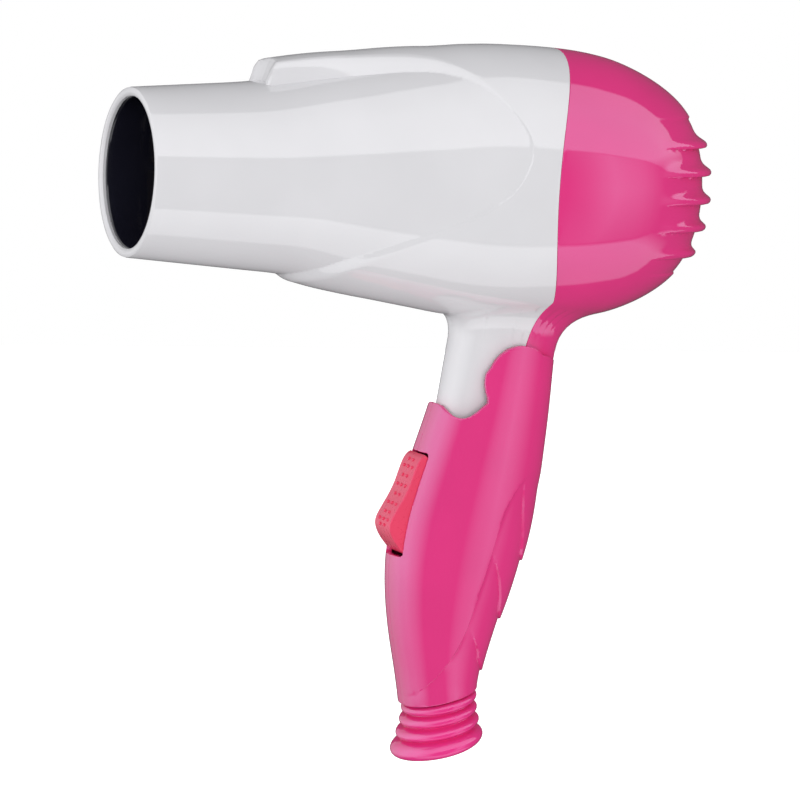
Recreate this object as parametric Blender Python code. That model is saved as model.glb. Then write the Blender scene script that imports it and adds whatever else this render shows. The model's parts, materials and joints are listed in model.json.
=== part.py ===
"""Folding hair dryer, modelled piece by piece.

Lengths in this file are millimetres, turned into Blender's metres by MM.
Design axes: X runs along the barrel from the nozzle's mouth (x = 0) to the air
inlet, Y goes from the near side (-Y) to the far side (+Y), and Z points up from
the barrel's axis (z = 0). The root empty then moves all pieces so that the
middle of the whole dryer is the origin.
"""
import math

import bmesh
import bpy
from mathutils import Matrix, Vector

MM = 0.001
TURN = 2 * math.pi

# ---- driving dimensions, in mm ------------------------------------------------
BOX_CENTRE_X = 88.24        # middle of the dryer's box, from the nozzle's mouth
BOX_CENTRE_Z = -63.67       # middle of the dryer's box, from the barrel's axis

WALL = 2.1                  # moulded shells
GAP = 0.3                   # between pieces that touch on the real dryer

NOZZLE_RADIUS = 23.3        # at the mouth
CONE_SLOPE = 0.079          # growth of the nozzle cone's radius for each mm of x
BARREL_SIDES = 40           # facets round the barrel

# Barrel stations: x, side radius, top height, bottom depth, and the angles in
# degrees over which the top and the bottom rise out of the cone.
BARREL = (
    (0.0, None, None, None, 18, 12),
    (20.0, None, None, None, 18, 12),
    (35.0, None, None, None, 18, 12),
    (37.0, None, 32.0, None, 18, 12),
    (46.5, None, 33.8, 27.6, 18, 14),
    (54.0, None, 34.9, 30.4, 18, 27),
    (64.5, None, 36.0, 32.4, 18, 46),
    (76.0, None, 37.3, 34.2, 20, 60),
    (88.0, None, 38.4, 36.1, 24, 76),
    (98.0, None, 39.4, 37.6, 40, 88),
    (108.0, 31.9, 39.7, 38.3, 72, 96),
    (118.0, 33.6, 39.6, 38.5, 90, 90),
    (130.0, 34.5, 39.1, 38.2, 90, 90),
    (143.0, 33.4, 37.6, 37.1, 90, 90),
    (152.0, 31.2, 34.9, 34.8, 90, 90),
    (160.0, 27.8, 31.2, 31.2, 90, 90),
    (166.0, 23.6, 27.0, 27.0, 90, 90),
    (170.0, 18.6, 21.8, 21.8, 90, 90),
    (172.6, 12.0, 14.0, 14.0, 90, 90),
    (173.5, 5.0, 6.0, 6.0, 90, 90),
)

SEAM_X = 116.0              # parting line of the two housings, on the barrel's side
SEAM_BOW = 11.3             # how far back it runs at the top of the barrel
SEAM_TOP = 39.0             # height at which it has run back by SEAM_BOW
NECK_SEAM_Z = -32.0         # below here the parting line is straight
NECK_SEAM_LEAN = 0.235      # and leans forward by this much for each mm down

NECK_X = 116.9              # neck's centre line at NECK_Z
NECK_Z = -48.0
NECK_LEAN = 0.14            # forward travel of the centre line for each mm down
NECK_DEPTH = 16.5           # half, along X
NECK_WIDTH = 9.5            # half, along Y
NECK_FLARE = ((-30, 9.0), (-35, 6.2), (-37.5, 3.2), (-40, 1.3), (-43, 0.3))

PIVOT_X = 118.5             # fold axis, parallel to Y
PIVOT_Z = -55.7
EAR_RADIUS = 10.4           # round ends of the handle's fork
KNUCKLE_FRONT = 22.7        # the neck stays this close to the fold axis in front
KNUCKLE_REAR = 12.0         # and this close behind, below KNUCKLE_Z
KNUCKLE_Z = -50.0
KNUCKLE_TURNS = (-130, -143)  # degrees below +X between which it goes from one to the other
FOLD_SWING = 55             # degrees from open to folded
NOTCH = ((70, -62.8), (97.0, -62.9), (98.6, -64.8), (101, -66.2), (104.4, -65.2))
                            # x, z of the handle's top edge in front
SHOULDER = ((128.4, -48.6), (131.2, -49.7), (140, -50.2))   # and behind
EAR_OUTSIDE = 11.2          # half the distance over the fork

# Handle stations: z, centre x, half depth along X, half width along Y.
HANDLE = (
    (-43.0, 117.6, 16.3, 12.1),
    (-52.0, 116.3, 17.0, 12.2),
    (-62.0, 114.6, 18.0, 12.3),
    (-77.0, 111.8, 19.6, 12.9),
    (-88.0, 109.7, 20.6, 13.3),
    (-97.0, 108.0, 21.3, 13.5),
    (-106.0, 106.5, 20.8, 13.4),
    (-115.0, 105.2, 19.3, 13.0),
    (-124.0, 104.3, 17.5, 12.4),
    (-135.0, 103.4, 14.4, 11.6),
    (-144.0, 103.3, 12.1, 11.0),
    (-156.0, 104.0, 10.6, 10.2),
)
HANDLE_SIDES = 32
HANDLE_END_X = 104.1        # middle of the handle's sloping end
HANDLE_END_Z = -148.3
END_TILT = math.radians(14)  # the end rises towards the rear

AXLE_RADIUS = 3.0
AXLE_BORE = 1.6             # radius of the hole through it

BOOT_RIBS = ((1.8, 11.1), (5.3, 11.0), (9.0, 11.6))   # distance below the end, radius
BOOT_FLANGE = (13.8, 13.5)  # the same for the flange
BOOT_LENGTH = 16.2
BOOT_BORE = 3.4             # radius of the hole for the cord

ROCKER_X = 94.6             # rocker's own axis, parallel to Y
ROCKER_Z = -92.0
ROCKER_HALF_WIDTH = 5.5
ROCKER_END = 14.3           # the rocker's lower end stays this far from its axis
ROCKER_TOP = 13.0           # and its upper end this far
PIN_RADIUS = 0.9
ROCKER_FACE = ((88.4, -82.2), (87.4, -85.6), (86.2, -89.0), (84.4, -92.4), (83.0, -95.4),
               (82.5, -97.8))   # x, z of its front
SWITCH_X = 104.4            # middle of the switch's body
CLAMP_X = 103.4

SCREW_PLACES = ((121.0, -86.0), (97.0, -127.0))   # x, z of the handle's screws
SCREW_HEAD = 2.6            # radii of their heads and shanks
SCREW_SHANK = 1.3
BOSS_RADIUS = 3.9

FAN_X = 127.0               # middle of the impeller
FAN_RADIUS = 25.0
FAN_BLADES = 7
BLADE = ((7.2, 56, 10.5), (16.0, 38, 11.5), (FAN_RADIUS, 26, 12.5))   # radius, lean, chord
BLADE_THICKNESS = 1.2
DUCT_RADIUS = 26.3          # inside
MOTOR_RADIUS = 12.2
HEATER_START = 26.0         # x range of the element's former
HEATER_END = 84.0
FORMER_RADIUS = 15.6
COIL_RADIUS = 17.6
COIL_TURNS = 7
COIL_WIRE = 0.7             # radius of the wound wire
SLEEVE_RADIUS = 20.4        # mica sleeve, outside
FIN_HEIGHTS = (14.4, 6.6, -1.3, -9.2, -17.0)   # inlet louvres, z
FIN_PROUD = 3.0
FIN_ROOT_X = 138.0          # the fins' outlines are drawn round this place
FIN_HALF_SPAN = 30.0
FIN_HALF_THICKNESS = 1.1
REAR_X = 173.5              # end of the barrel
SLOT_HEIGHT = 3.6
SLOT_WIDTH = 30.0
INLET_ROOM = ((120, 0.01), (120, 27), (150, 27), (160, 22), (166, 15), (166, 0.01))

# ---- colours: base colour, roughness, metallic ----------------------------------
COLOURS = {
    "white_gloss": ((0.84, 0.84, 0.86), 0.22, 0.0),
    "pink_gloss": ((0.80, 0.07, 0.27), 0.22, 0.0),
    "coral_gloss": ((0.86, 0.10, 0.20), 0.25, 0.0),
    "black_plastic": ((0.03, 0.03, 0.035), 0.45, 0.0),
    "mica": ((0.62, 0.52, 0.36), 0.55, 0.0),
    "heater_wire": ((0.45, 0.42, 0.40), 0.35, 1.0),
    "steel": ((0.62, 0.62, 0.64), 0.28, 1.0),
    "brass": ((0.75, 0.56, 0.25), 0.30, 1.0),
    "board": ((0.10, 0.28, 0.14), 0.50, 0.0),
    "red_lead": ((0.60, 0.05, 0.04), 0.45, 0.0),
    "blue_lead": ((0.05, 0.12, 0.50), 0.45, 0.0),
    "ceramic": ((0.86, 0.84, 0.78), 0.40, 0.0),
}


# ---- scene helpers --------------------------------------------------------------
def clear_scene():
    for item in list(bpy.data.objects):
        bpy.data.objects.remove(item, do_unlink=True)


def make_collection(name):
    collection = bpy.data.collections.new(name)
    bpy.context.scene.collection.children.link(collection)
    return collection


def make_material(name, finish):
    colour, roughness, metallic = COLOURS[finish]
    material = bpy.data.materials.new(name)
    material.use_nodes = True
    shader = material.node_tree.nodes["Principled BSDF"]
    shader.inputs["Base Color"].default_value = (*colour, 1.0)
    shader.inputs["Roughness"].default_value = roughness
    shader.inputs["Metallic"].default_value = metallic
    return material


def add_object(name, mesh, finish=None, at=(0, 0, 0), parent=None):
    """Puts a mesh in the scene, with its origin at `at` in design millimetres."""
    item = bpy.data.objects.new(name, mesh)
    offset = Vector(at)
    for vertex in mesh.vertices:
        vertex.co = (vertex.co - offset) * MM
    if finish is None:
        CUTTERS.objects.link(item)
        item.hide_render = True
        item.display_type = "WIRE"
    else:
        PIECES.objects.link(item)
        mesh.materials.append(make_material(name, finish))
        mesh.shade_smooth()
        mesh.set_sharp_from_angle(angle=math.radians(35))
    item.parent = parent or ROOT
    item.location = (offset - holder_place(item.parent)) * MM
    return item


def add_empty(name, at, parent=None):
    """A holder whose origin lies on a joint's axis."""
    empty = bpy.data.objects.new(name, None)
    PIECES.objects.link(empty)
    empty.parent = parent
    empty["place"] = at
    if parent is not None:
        empty.location = (Vector(at) - holder_place(parent)) * MM
    return empty


def holder_place(holder):
    return Vector(holder["place"])


def boolean(item, cutter, operation="DIFFERENCE"):
    modifier = item.modifiers.new(operation.title() + " " + cutter.name, "BOOLEAN")
    modifier.operation = operation
    modifier.object = cutter


# ---- mesh helpers ---------------------------------------------------------------
def mesh_from(bm):
    bmesh.ops.recalc_face_normals(bm, faces=bm.faces)
    mesh = bpy.data.meshes.new("mesh")
    bm.to_mesh(mesh)
    bm.free()
    return mesh


def loft(rings):
    """Closed solid through rings of points, which all have the same count."""
    bm = bmesh.new()
    rows = [[bm.verts.new(point) for point in ring] for ring in rings]
    count = len(rows[0])
    for lower, upper in zip(rows, rows[1:]):
        for i in range(count):
            j = (i + 1) % count
            bm.faces.new((lower[i], lower[j], upper[j], upper[i]))
    bm.faces.new(rows[0])
    bm.faces.new(rows[-1])
    return mesh_from(bm)


def box(size, centre):
    bm = bmesh.new()
    bmesh.ops.create_cube(bm, size=1.0)
    bmesh.ops.transform(
        bm, verts=bm.verts, matrix=Matrix.Translation(centre) @ Matrix.Diagonal((*size, 1)))
    return mesh_from(bm)


def rod(start, end, radius, sides=16):
    """Cylinder from one point to another."""
    start = Vector(start)
    along = Vector(end) - start
    bm = bmesh.new()
    bmesh.ops.create_cone(
        bm, cap_ends=True, segments=sides, radius1=radius, radius2=radius, depth=along.length)
    turn = along.to_track_quat("Z", "Y").to_matrix().to_4x4()
    bmesh.ops.transform(
        bm, verts=bm.verts, matrix=Matrix.Translation(start + along / 2) @ turn)
    return mesh_from(bm)


def turned_x(profile, sides=32):
    """Turns a closed (x, radius) outline round the X axis."""
    bm = bmesh.new()
    rows = []
    for x, radius in profile:
        row = []
        for i in range(sides):
            angle = TURN * i / sides
            row.append(bm.verts.new((x, radius * math.sin(angle), radius * math.cos(angle))))
        rows.append(row)
    for row, following in zip(rows, rows[1:] + rows[:1]):
        for i in range(sides):
            j = (i + 1) % sides
            bm.faces.new((row[i], row[j], following[j], following[i]))
    return mesh_from(bm)


def turned_y(profile, sides, centre):
    """Turns a closed (y, radius) outline round the Y direction."""
    mesh = turned_x(profile, sides)
    mesh.transform(Matrix.Translation(centre) @ Matrix.Rotation(math.pi / 2, 4, "Z"))
    return mesh


def tube_x(x0, x1, outer, inner, sides=32):
    return turned_x(((x0, inner), (x0, outer), (x1, outer), (x1, inner)), sides)


def prism_y(outline, half_width):
    """A side-view outline of (x, z) points, pushed out along Y both ways."""
    return loft([[(x, side * half_width, z) for x, z in outline] for side in (-1, 1)])


def arc(centre, radius, start, end, count):
    """Points of an arc in the side view, angles in degrees from +X towards +Z."""
    points = []
    for i in range(count):
        angle = math.radians(start + (end - start) * i / (count - 1))
        points.append((centre[0] + radius * math.cos(angle),
                       centre[1] + radius * math.sin(angle)))
    return points


# ---- barrel and neck --------------------------------------------------------------
def rise(angle, spread):
    """1 on the centre line, falling to 0 where the rise meets the cone."""
    part = min(1.0, abs(angle) / math.radians(spread))
    return math.cos(part * math.pi / 2) ** (1.3 if spread < 60 else 2.0)


def barrel_rings(inset):
    rings = []
    for x, side, top, bottom, top_spread, bottom_spread in BARREL:
        cone = NOZZLE_RADIUS + CONE_SLOPE * x
        side = side or cone
        top = (top or side) - side
        bottom = (bottom or side) - side
        ring = []
        for i in range(BARREL_SIDES):
            angle = TURN * i / BARREL_SIDES
            up = min(angle, TURN - angle)
            radius = side + top * rise(up, top_spread) + bottom * rise(math.pi - up, bottom_spread)
            radius -= inset
            ring.append((x, -radius * math.sin(angle), radius * math.cos(angle)))
        rings.append(ring)
    return rings


def inner_barrel_rings():
    """The barrel's cavity: open at the mouth, and stopping short of the rear."""
    rings = [ring for ring in barrel_rings(WALL) if ring[0][0] < 172]
    shift = WALL * 0.8
    moved = []
    for ring in rings:
        back = shift * max(0.0, min(1.0, (ring[0][0] - 140) / 25))
        moved.append([(x - back, y, z) for x, y, z in ring])
    return [[(-3.0, y, z) for _, y, z in rings[0]]] + moved[1:]


def oval(centre_x, z, depth, width, sides=32, power=2.3):
    """Ring of a rounded oval, level, centred on Y = 0."""
    ring = []
    for i in range(sides):
        angle = TURN * i / sides
        c, s = math.cos(angle), math.sin(angle)
        ring.append((centre_x + depth * math.copysign(abs(c) ** (2 / power), c),
                     width * math.copysign(abs(s) ** (2 / power), s), z))
    return ring


def neck_rings(inset):
    rings = []
    for z, flare in NECK_FLARE + ((-50, 0), (-60, 0), (-80, 0)):
        centre = NECK_X + (z - NECK_Z) * NECK_LEAN
        rings.append(oval(centre, z, NECK_DEPTH + flare - inset, NECK_WIDTH + flare - inset))
    return rings


def seam_x(z):
    if z > NECK_SEAM_Z:
        return SEAM_X + SEAM_BOW * (z / SEAM_TOP) ** 2
    return seam_x(NECK_SEAM_Z + 0.001) + (z - NECK_SEAM_Z) * NECK_SEAM_LEAN


def seam_cutter(name, shift, far_x):
    """Everything on one side of the parting line."""
    heights = [60 - 6 * i for i in range(16)] + [-40, -60, -90]
    line = [(seam_x(z) + shift, z) for z in heights]
    return add_object(name, prism_y(line + [(far_x, -90), (far_x, 60)], 60))


def knuckle_outline(grow=0.0, swing=0):
    """Side view of what the neck may fill, so that the handle can swing round it.

    The handle's room for it is wider by `grow`, and by the angle it swings through.
    """
    pivot = (PIVOT_X, PIVOT_Z)
    low = KNUCKLE_Z - grow
    start = math.degrees(math.asin((low - PIVOT_Z) / (KNUCKLE_REAR + grow)))
    rear_end, front_start = (turn + swing for turn in KNUCKLE_TURNS)
    rear = arc(pivot, KNUCKLE_REAR + grow, start, rear_end, 9)
    front = arc(pivot, KNUCKLE_FRONT + grow, front_start, -190, 9)
    return ([(-20, 60), (200, 60), (200, low)] + rear + front
            + [(80, front[-1][1] + 6), (-20, front[-1][1] + 6)])


def make_housings():
    outer_neck = add_object("neck_outside", loft(neck_rings(0)))
    cavity = add_object("barrel_cavity", loft(inner_barrel_rings()))
    neck_cavity = add_object("neck_cavity", loft(neck_rings(WALL)))
    knuckle = add_object("knuckle_limit", prism_y(knuckle_outline(), 70))
    axle_hole = add_object("neck_axle_hole", rod(
        (PIVOT_X, -20, PIVOT_Z), (PIVOT_X, 20, PIVOT_Z), AXLE_RADIUS + GAP))
    halves = (("front_housing", "white_gloss", seam_cutter("rear_side", -GAP / 2, 260)),
              ("rear_housing", "pink_gloss", seam_cutter("front_side", GAP / 2, -60)))
    housings = []
    for name, finish, other_side in halves:
        housing = add_object(name, loft(barrel_rings(0)), finish)
        boolean(housing, outer_neck, "UNION")
        boolean(housing, cavity)
        boolean(housing, neck_cavity)
        boolean(housing, knuckle, "INTERSECT")
        boolean(housing, axle_hole)
        boolean(housing, other_side)
        housings.append(housing)
    return housings


def make_louvres(rear):
    """Horizontal fins round the inlet, with a slot through the wall between each two."""
    for number, height in enumerate(FIN_HEIGHTS):
        outline = []
        span = FIN_HALF_SPAN * math.sqrt(1 - (height / SEAM_TOP) ** 2)
        reach = REAR_X - FIN_ROOT_X - 0.011 * height ** 2 + FIN_PROUD
        for i in range(13):
            angle = math.radians(-78 + 13 * i)
            outline.append((FIN_ROOT_X + reach * math.cos(angle) ** 0.8, span * math.sin(angle)))
        fin = loft([[(x, y, height + side * FIN_HALF_THICKNESS) for x, y in outline]
                    for side in (-1, 1)])
        boolean(rear, add_object("fin_%d" % (number + 1), fin), "UNION")
    slots = [(a + b) / 2 for a, b in zip(FIN_HEIGHTS, FIN_HEIGHTS[1:])]
    for number, height in enumerate(slots):
        width = SLOT_WIDTH - 0.5 * abs(height)
        boolean(rear, add_object("slot_%d" % (number + 1), box(
            (30, width, SLOT_HEIGHT), (REAR_X, 0, height))))
    boolean(rear, add_object("inlet_room", turned_x(INLET_ROOM, 24)))


# ---- handle -----------------------------------------------------------------------
def handle_rings(inset):
    return [oval(x, z, depth - inset, width - inset, HANDLE_SIDES)
            for z, x, depth, width in HANDLE]


def handle_outline():
    """Side view of what the handle may fill: its fork's round ends, and its foot."""
    ear = arc((PIVOT_X, PIVOT_Z), EAR_RADIUS, 205, 48, 11)
    slope = 30 * math.tan(END_TILT)
    return (list(NOTCH) + ear + list(SHOULDER)
            + [(140, HANDLE_END_Z + slope * (140 - HANDLE_END_X) / 30),
               (70, HANDLE_END_Z - slope * (HANDLE_END_X - 70) / 30)])


def screw_boss(item, side, x, z):
    """Half of a screw boss; the far half takes the head, the near half the thread."""
    boss = add_object("boss_%s_%d" % (item.name, -z), rod(
        (x, side * 0.4, z), (x, side * 9.0, z), BOSS_RADIUS))
    boolean(item, boss, "UNION")
    radius = SCREW_SHANK + (2 * GAP if side > 0 else GAP)
    boolean(item, add_object("bore_%s_%d" % (item.name, -z), rod(
        (x, -8, z), (x, 20, z), radius)))
    if side > 0:
        boolean(item, add_object("sink_%s_%d" % (item.name, -z), rod(
            (x, 6.5, z), (x, 20, z), SCREW_HEAD + 0.4)))


def make_handle():
    limit = add_object("handle_limit", prism_y(handle_outline(), 30))
    cavity = add_object("handle_cavity", loft(handle_rings(WALL)))
    neck_room = add_object("neck_room", prism_y(
        knuckle_outline(0.4, FOLD_SWING), NECK_WIDTH + GAP))
    axle_hole = add_object("handle_axle_hole", rod(
        (PIVOT_X, -EAR_OUTSIDE, PIVOT_Z), (PIVOT_X, EAR_OUTSIDE, PIVOT_Z), AXLE_RADIUS + GAP))
    slot = add_object("rocker_opening", box(
        (18, 2 * ROCKER_HALF_WIDTH + 1, 27.4), (88.5, 0, -92.2)))
    ear_room = add_object("switch_ear_room", box((8, 14.9, 8), (SWITCH_X - 8, 0, ROCKER_Z)))
    for name, side in (("handle_near_shell", -1), ("handle_far_shell", 1)):
        shell = add_object(name, loft(handle_rings(0)), "pink_gloss", parent=FOLD)
        boolean(shell, cavity)
        boolean(shell, limit, "INTERSECT")
        boolean(shell, neck_room)
        boolean(shell, axle_hole)
        boolean(shell, slot)
        boolean(shell, ear_room)
        boolean(shell, add_object("keep_" + name, box(
            (120, 40, 160), (110, side * (20 + GAP / 2), -100))), "INTERSECT")
        for x, z in SCREW_PLACES:
            screw_boss(shell, side, x, z)
    for number, (x, z) in enumerate(SCREW_PLACES):
        screw = add_object("handle_screw_%d" % (number + 1), rod(
            (x, 6.8, z), (x, 8.9, z), SCREW_HEAD), "steel", parent=FOLD)
        boolean(screw, add_object("shank_%d" % (number + 1), rod(
            (x, -6.5, z), (x, 7.5, z), SCREW_SHANK, 12)), "UNION")
    end = EAR_OUTSIDE - GAP
    add_object("fold_axle", turned_y(
        ((-end, AXLE_BORE), (-end, AXLE_RADIUS), (end, AXLE_RADIUS), (end, AXLE_BORE)),
        24, (PIVOT_X, 0, PIVOT_Z)), "steel", parent=FOLD)


def boot_profile():
    """(distance below the handle's end, radius) from the spigot down to the foot."""
    profile = [(-4.5, BOOT_BORE), (-4.5, 7.6), (GAP, 7.6), (GAP, 10.0)]
    for low, radius in BOOT_RIBS:
        profile += [(low - 1.0, radius - 0.45), (low, radius), (low + 1.0, radius - 0.45),
                    (low + 1.75, 10.1)]
    low, radius = BOOT_FLANGE
    profile += [(low - 1.9, radius - 0.9), (low - 0.4, radius), (low + 0.9, radius - 0.1),
                (low + 1.9, radius - 1.2), (BOOT_LENGTH, radius - 3.0), (BOOT_LENGTH, BOOT_BORE)]
    return profile


def make_boot():
    """Ribs lie parallel to the handle's sloping end, while the boot hangs straight."""
    mesh = turned_x(boot_profile(), 24)
    slant = Matrix((
        (0, 0, math.cos(END_TILT), HANDLE_END_X),
        (0, 1, 0, 0),
        (-1, 0, math.sin(END_TILT), HANDLE_END_Z),
        (0, 0, 0, 1)))
    mesh.transform(slant)
    if slant.determinant() < 0:
        mesh.flip_normals()
    add_object("cord_boot", mesh, "pink_gloss", parent=FOLD)


# ---- rocker switch ----------------------------------------------------------------
def make_switch():
    axis = (ROCKER_X, ROCKER_Z)
    foot = arc(axis, ROCKER_END, 216, 256, 7)
    hub = arc(axis, 2.3, -60, 60, 6)
    head = arc(axis, ROCKER_TOP, 96, 107, 3)
    cap = add_object("rocker_cap", prism_y(
        list(ROCKER_FACE) + foot + hub + head, ROCKER_HALF_WIDTH),
        "coral_gloss", (ROCKER_X, 0, ROCKER_Z), ROCK)
    pin_hole = add_object("pin_hole", rod(
        (ROCKER_X, -12, ROCKER_Z), (ROCKER_X, 12, ROCKER_Z), PIN_RADIUS + GAP, 12))
    boolean(cap, pin_hole)
    add_object("rocker_pin", rod((ROCKER_X, -7.0, ROCKER_Z), (ROCKER_X, 7.0, ROCKER_Z),
                                 PIN_RADIUS, 12), "steel", parent=FOLD)
    body = add_object("switch_body", box((12, 12, 22), (SWITCH_X, 0, ROCKER_Z)),
                      "black_plastic", parent=FOLD)
    for side in (-1, 1):
        boolean(body, add_object("switch_ear_%d" % side, box(
            (6.6, 1.2, 7), (SWITCH_X - 8.3, side * 6.45, ROCKER_Z))), "UNION")
        boolean(body, add_object("switch_side_%d" % side, box(
            (9, 2.0, 7), (SWITCH_X - 1.4, side * 6.3, ROCKER_Z))), "UNION")
    boolean(body, pin_hole)
    for number in range(3):
        add_object("switch_terminal_%d" % (number + 1), box(
            (4, 3.2, 0.8), (SWITCH_X + 8.3, 0, ROCKER_Z + 7 * (1 - number))), "brass", parent=FOLD)


# ---- mains leads and clamp -----------------------------------------------------------
def make_lead(name, points, finish, parent, radius=0.9):
    curve = bpy.data.curves.new(name, "CURVE")
    curve.dimensions = "3D"
    curve.bevel_depth = radius * MM
    curve.bevel_resolution = 1
    curve.use_fill_caps = True
    spline = curve.splines.new("POLY")
    spline.points.add(len(points) - 1)
    offset = holder_place(parent)
    for point, place in zip(spline.points, points):
        point.co = (*((Vector(place) - offset) * MM), 1)
    curve.materials.append(make_material(name, finish))
    item = bpy.data.objects.new(name, curve)
    PIECES.objects.link(item)
    item.parent = parent
    return item


def eased(points, steps=4):
    """Points of a smooth curve through a route's own points."""
    route = [Vector(p) for p in points]
    route = [2 * route[0] - route[1]] + route + [2 * route[-1] - route[-2]]
    path = []
    for i in range(1, len(route) - 2):
        a, b, c, d = route[i - 1:i + 3]
        for step in range(steps):
            t = step / steps
            path.append(0.5 * (2 * b + (c - a) * t + (2 * a - 5 * b + 4 * c - d) * t * t
                               + (3 * b - a - 3 * c + d) * t ** 3))
    return path + [route[-2]]


def make_wiring():
    for side, name, finish in ((-1, "live", "red_lead"), (1, "neutral", "blue_lead")):
        make_lead("lead_" + name, eased((
            (103.8, side * 1.8, -141.0), (104.2, side * 2.0, -135.0),
            (107.5, side * 2.8, -127.0), (112.5, side * 3.4, -115.0),
            (116.0, side * 3.0, -106.0), (116.8, side * 3.0, -100.5))), finish, FOLD)
        make_lead("feed_" + name, eased((
            (108.5, side * 3.0, -64.0), (108.5, side * 3.0, -52.0), (108.0, side * 3.2, -40.0),
            (101.0, side * 3.4, -32.6), (93.0, side * 3.4, -30.2), (88.6, side * 3.4, -24.5),
            (87.6, side * 3.4, -17.0))), finish, ROOT)
    clamp = add_object("cord_clamp", box((13, 9, 3.2), (CLAMP_X, 0, -138.2)), "black_plastic",
                       parent=FOLD)
    boolean(clamp, add_object("clamp_groove", rod(
        (CLAMP_X, 0, -145), (CLAMP_X, 0, -130), BOOT_BORE)))
    for number, side in enumerate((-1, 1)):
        x = CLAMP_X + side * 4.9
        boolean(clamp, add_object("clamp_hole_%d" % number, rod(
            (x, 0, -145), (x, 0, -130), 1.2, 12)))
        screw = add_object("clamp_screw_%d" % (number + 1), rod(
            (x, 0, -136.2), (x, 0, -134.8), 1.4, 12), "steel", parent=FOLD)
        boolean(screw, add_object("clamp_shank_%d" % number, rod(
            (x, 0, -141.5), (x, 0, -135.5), 0.8, 10)), "UNION")


# ---- heater -------------------------------------------------------------------------
def spoked_ring(name, finish, x0, x1, radii, spokes, bar, parent=None):
    """Concentric rings joined by spokes: radii are (outer, inner) pairs."""
    wheel = add_object(name, tube_x(x0, x1, *radii[0], 40), finish, parent=parent)
    for number, (outer, inner) in enumerate(radii[1:]):
        boolean(wheel, add_object("%s_ring_%d" % (name, number), tube_x(
            x0, x1, outer, inner, 32)), "UNION")
    inner = radii[-1][1] + 0.3
    outer = radii[0][0] - 0.3
    middle = (x0 + x1) / 2
    for number in range(spokes):
        angle = TURN * (number + 0.5) / spokes
        spoke = box((x1 - x0 - 0.6, bar, outer - inner), (middle, 0, (outer + inner) / 2))
        spoke.transform(Matrix.Rotation(angle, 4, "X"))
        cutter = add_object("%s_spoke_%d" % (name, number), spoke)
        boolean(wheel, cutter, "UNION")
    return wheel


def make_heater():
    spoked_ring("outlet_grille", "black_plastic", 15, 18, ((22.0, 20.5), (11.6, 10.6)), 6, 1.2)
    add_object("mica_sleeve", tube_x(22, 86, SLEEVE_RADIUS, SLEEVE_RADIUS - 0.8, 32), "mica")
    length = HEATER_END - HEATER_START
    middle = (HEATER_START + HEATER_END) / 2
    upright = add_object("mica_board_upright", box(
        (length, 0.9, 2 * FORMER_RADIUS), (middle, 0, 0)), "mica")
    boolean(upright, add_object("upright_slot", box((40, 4, 1.6), (middle + 19.7, 0, 0))))
    level = add_object("mica_board_level", box(
        (length, 2 * FORMER_RADIUS, 0.9), (middle, 0, 0)), "mica")
    boolean(level, add_object("level_slot", box((40, 1.6, 4), (middle - 19.7, 0, 0))))
    turns = []
    steps = COIL_TURNS * 14
    for i in range(steps + 1):
        angle = COIL_TURNS * TURN * i / steps
        turns.append((HEATER_START + 4 + (length - 8) * i / steps,
                      COIL_RADIUS * math.sin(angle), COIL_RADIUS * math.cos(angle)))
    make_lead("heater_coil", turns, "heater_wire", ROOT, COIL_WIRE)
    add_object("thermostat", rod((70, 7, 0.8), (70, 7, 4.4), 3.4), "steel")
    add_object("thermal_fuse", rod((38, 6.5, 2.2), (48, 6.5, 2.2), 1.4, 12), "ceramic")


# ---- fan ----------------------------------------------------------------------------
def make_fan():
    add_object("motor_shaft", rod((97.5, 0, 0), (132.0, 0, 0), 1.2, 12), "steel",
               (FAN_X, 0, 0), SPIN)
    wheel = add_object("fan_impeller", turned_x(
        ((121, 1.5), (121, 8.0), (130, 8.0), (132, 6.4), (132.8, 3.6), (132.8, 1.5)), 24),
        "black_plastic", (FAN_X, 0, 0), SPIN)
    for number in range(FAN_BLADES):
        rings = []
        for radius, twist, chord in BLADE:
            c, s = math.cos(math.radians(twist)), math.sin(math.radians(twist))
            ring = []
            for along, across in ((-0.5, -0.5), (0.5, -0.5), (0.5, 0.5), (-0.5, 0.5)):
                length, thickness = chord * along, BLADE_THICKNESS * across
                ring.append((FAN_X - 0.8 + 0.9 * (length * s - thickness * c),
                             length * c + thickness * s, radius))
            rings.append(ring)
        blade = loft(rings)
        blade.transform(Matrix.Rotation(TURN * number / FAN_BLADES, 4, "X"))
        boolean(wheel, add_object("blade_%d" % (number + 1), blade), "UNION")
    duct = spoked_ring("fan_duct", "black_plastic", 99, 111,
                       ((DUCT_RADIUS + 1.6, DUCT_RADIUS), (14.2, 12.6)), 6, 1.4)
    boolean(duct, add_object("duct_wall", tube_x(
        93, 134.5, DUCT_RADIUS + 1.5, DUCT_RADIUS + 0.1, 40)), "UNION")
    add_object("motor", turned_x(
        ((97, 1.6), (97, 5.0), (98.5, MOTOR_RADIUS - 1), (99.5, MOTOR_RADIUS),
         (117, MOTOR_RADIUS), (118, MOTOR_RADIUS - 1.2), (118, 4.0), (119.4, 3.6), (119.4, 1.6)),
        28), "steel")
    add_object("rectifier_board", tube_x(94.4, 95.8, 10.5, 2.5, 24), "board")
    for number in range(4):
        angle = TURN * (number + 0.5) / 4
        y, z = 6.4 * math.sin(angle), 6.4 * math.cos(angle)
        add_object("diode_%d" % (number + 1), rod(
            (92.6, y, z - 2.2), (92.6, y, z + 2.2), 1.3, 12), "black_plastic")
    spoked_ring("inlet_filter", "black_plastic", 147.4, 148.9,
                ((26.4, 25.0), (12.0, 11.0)), 8, 0.9)


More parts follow.
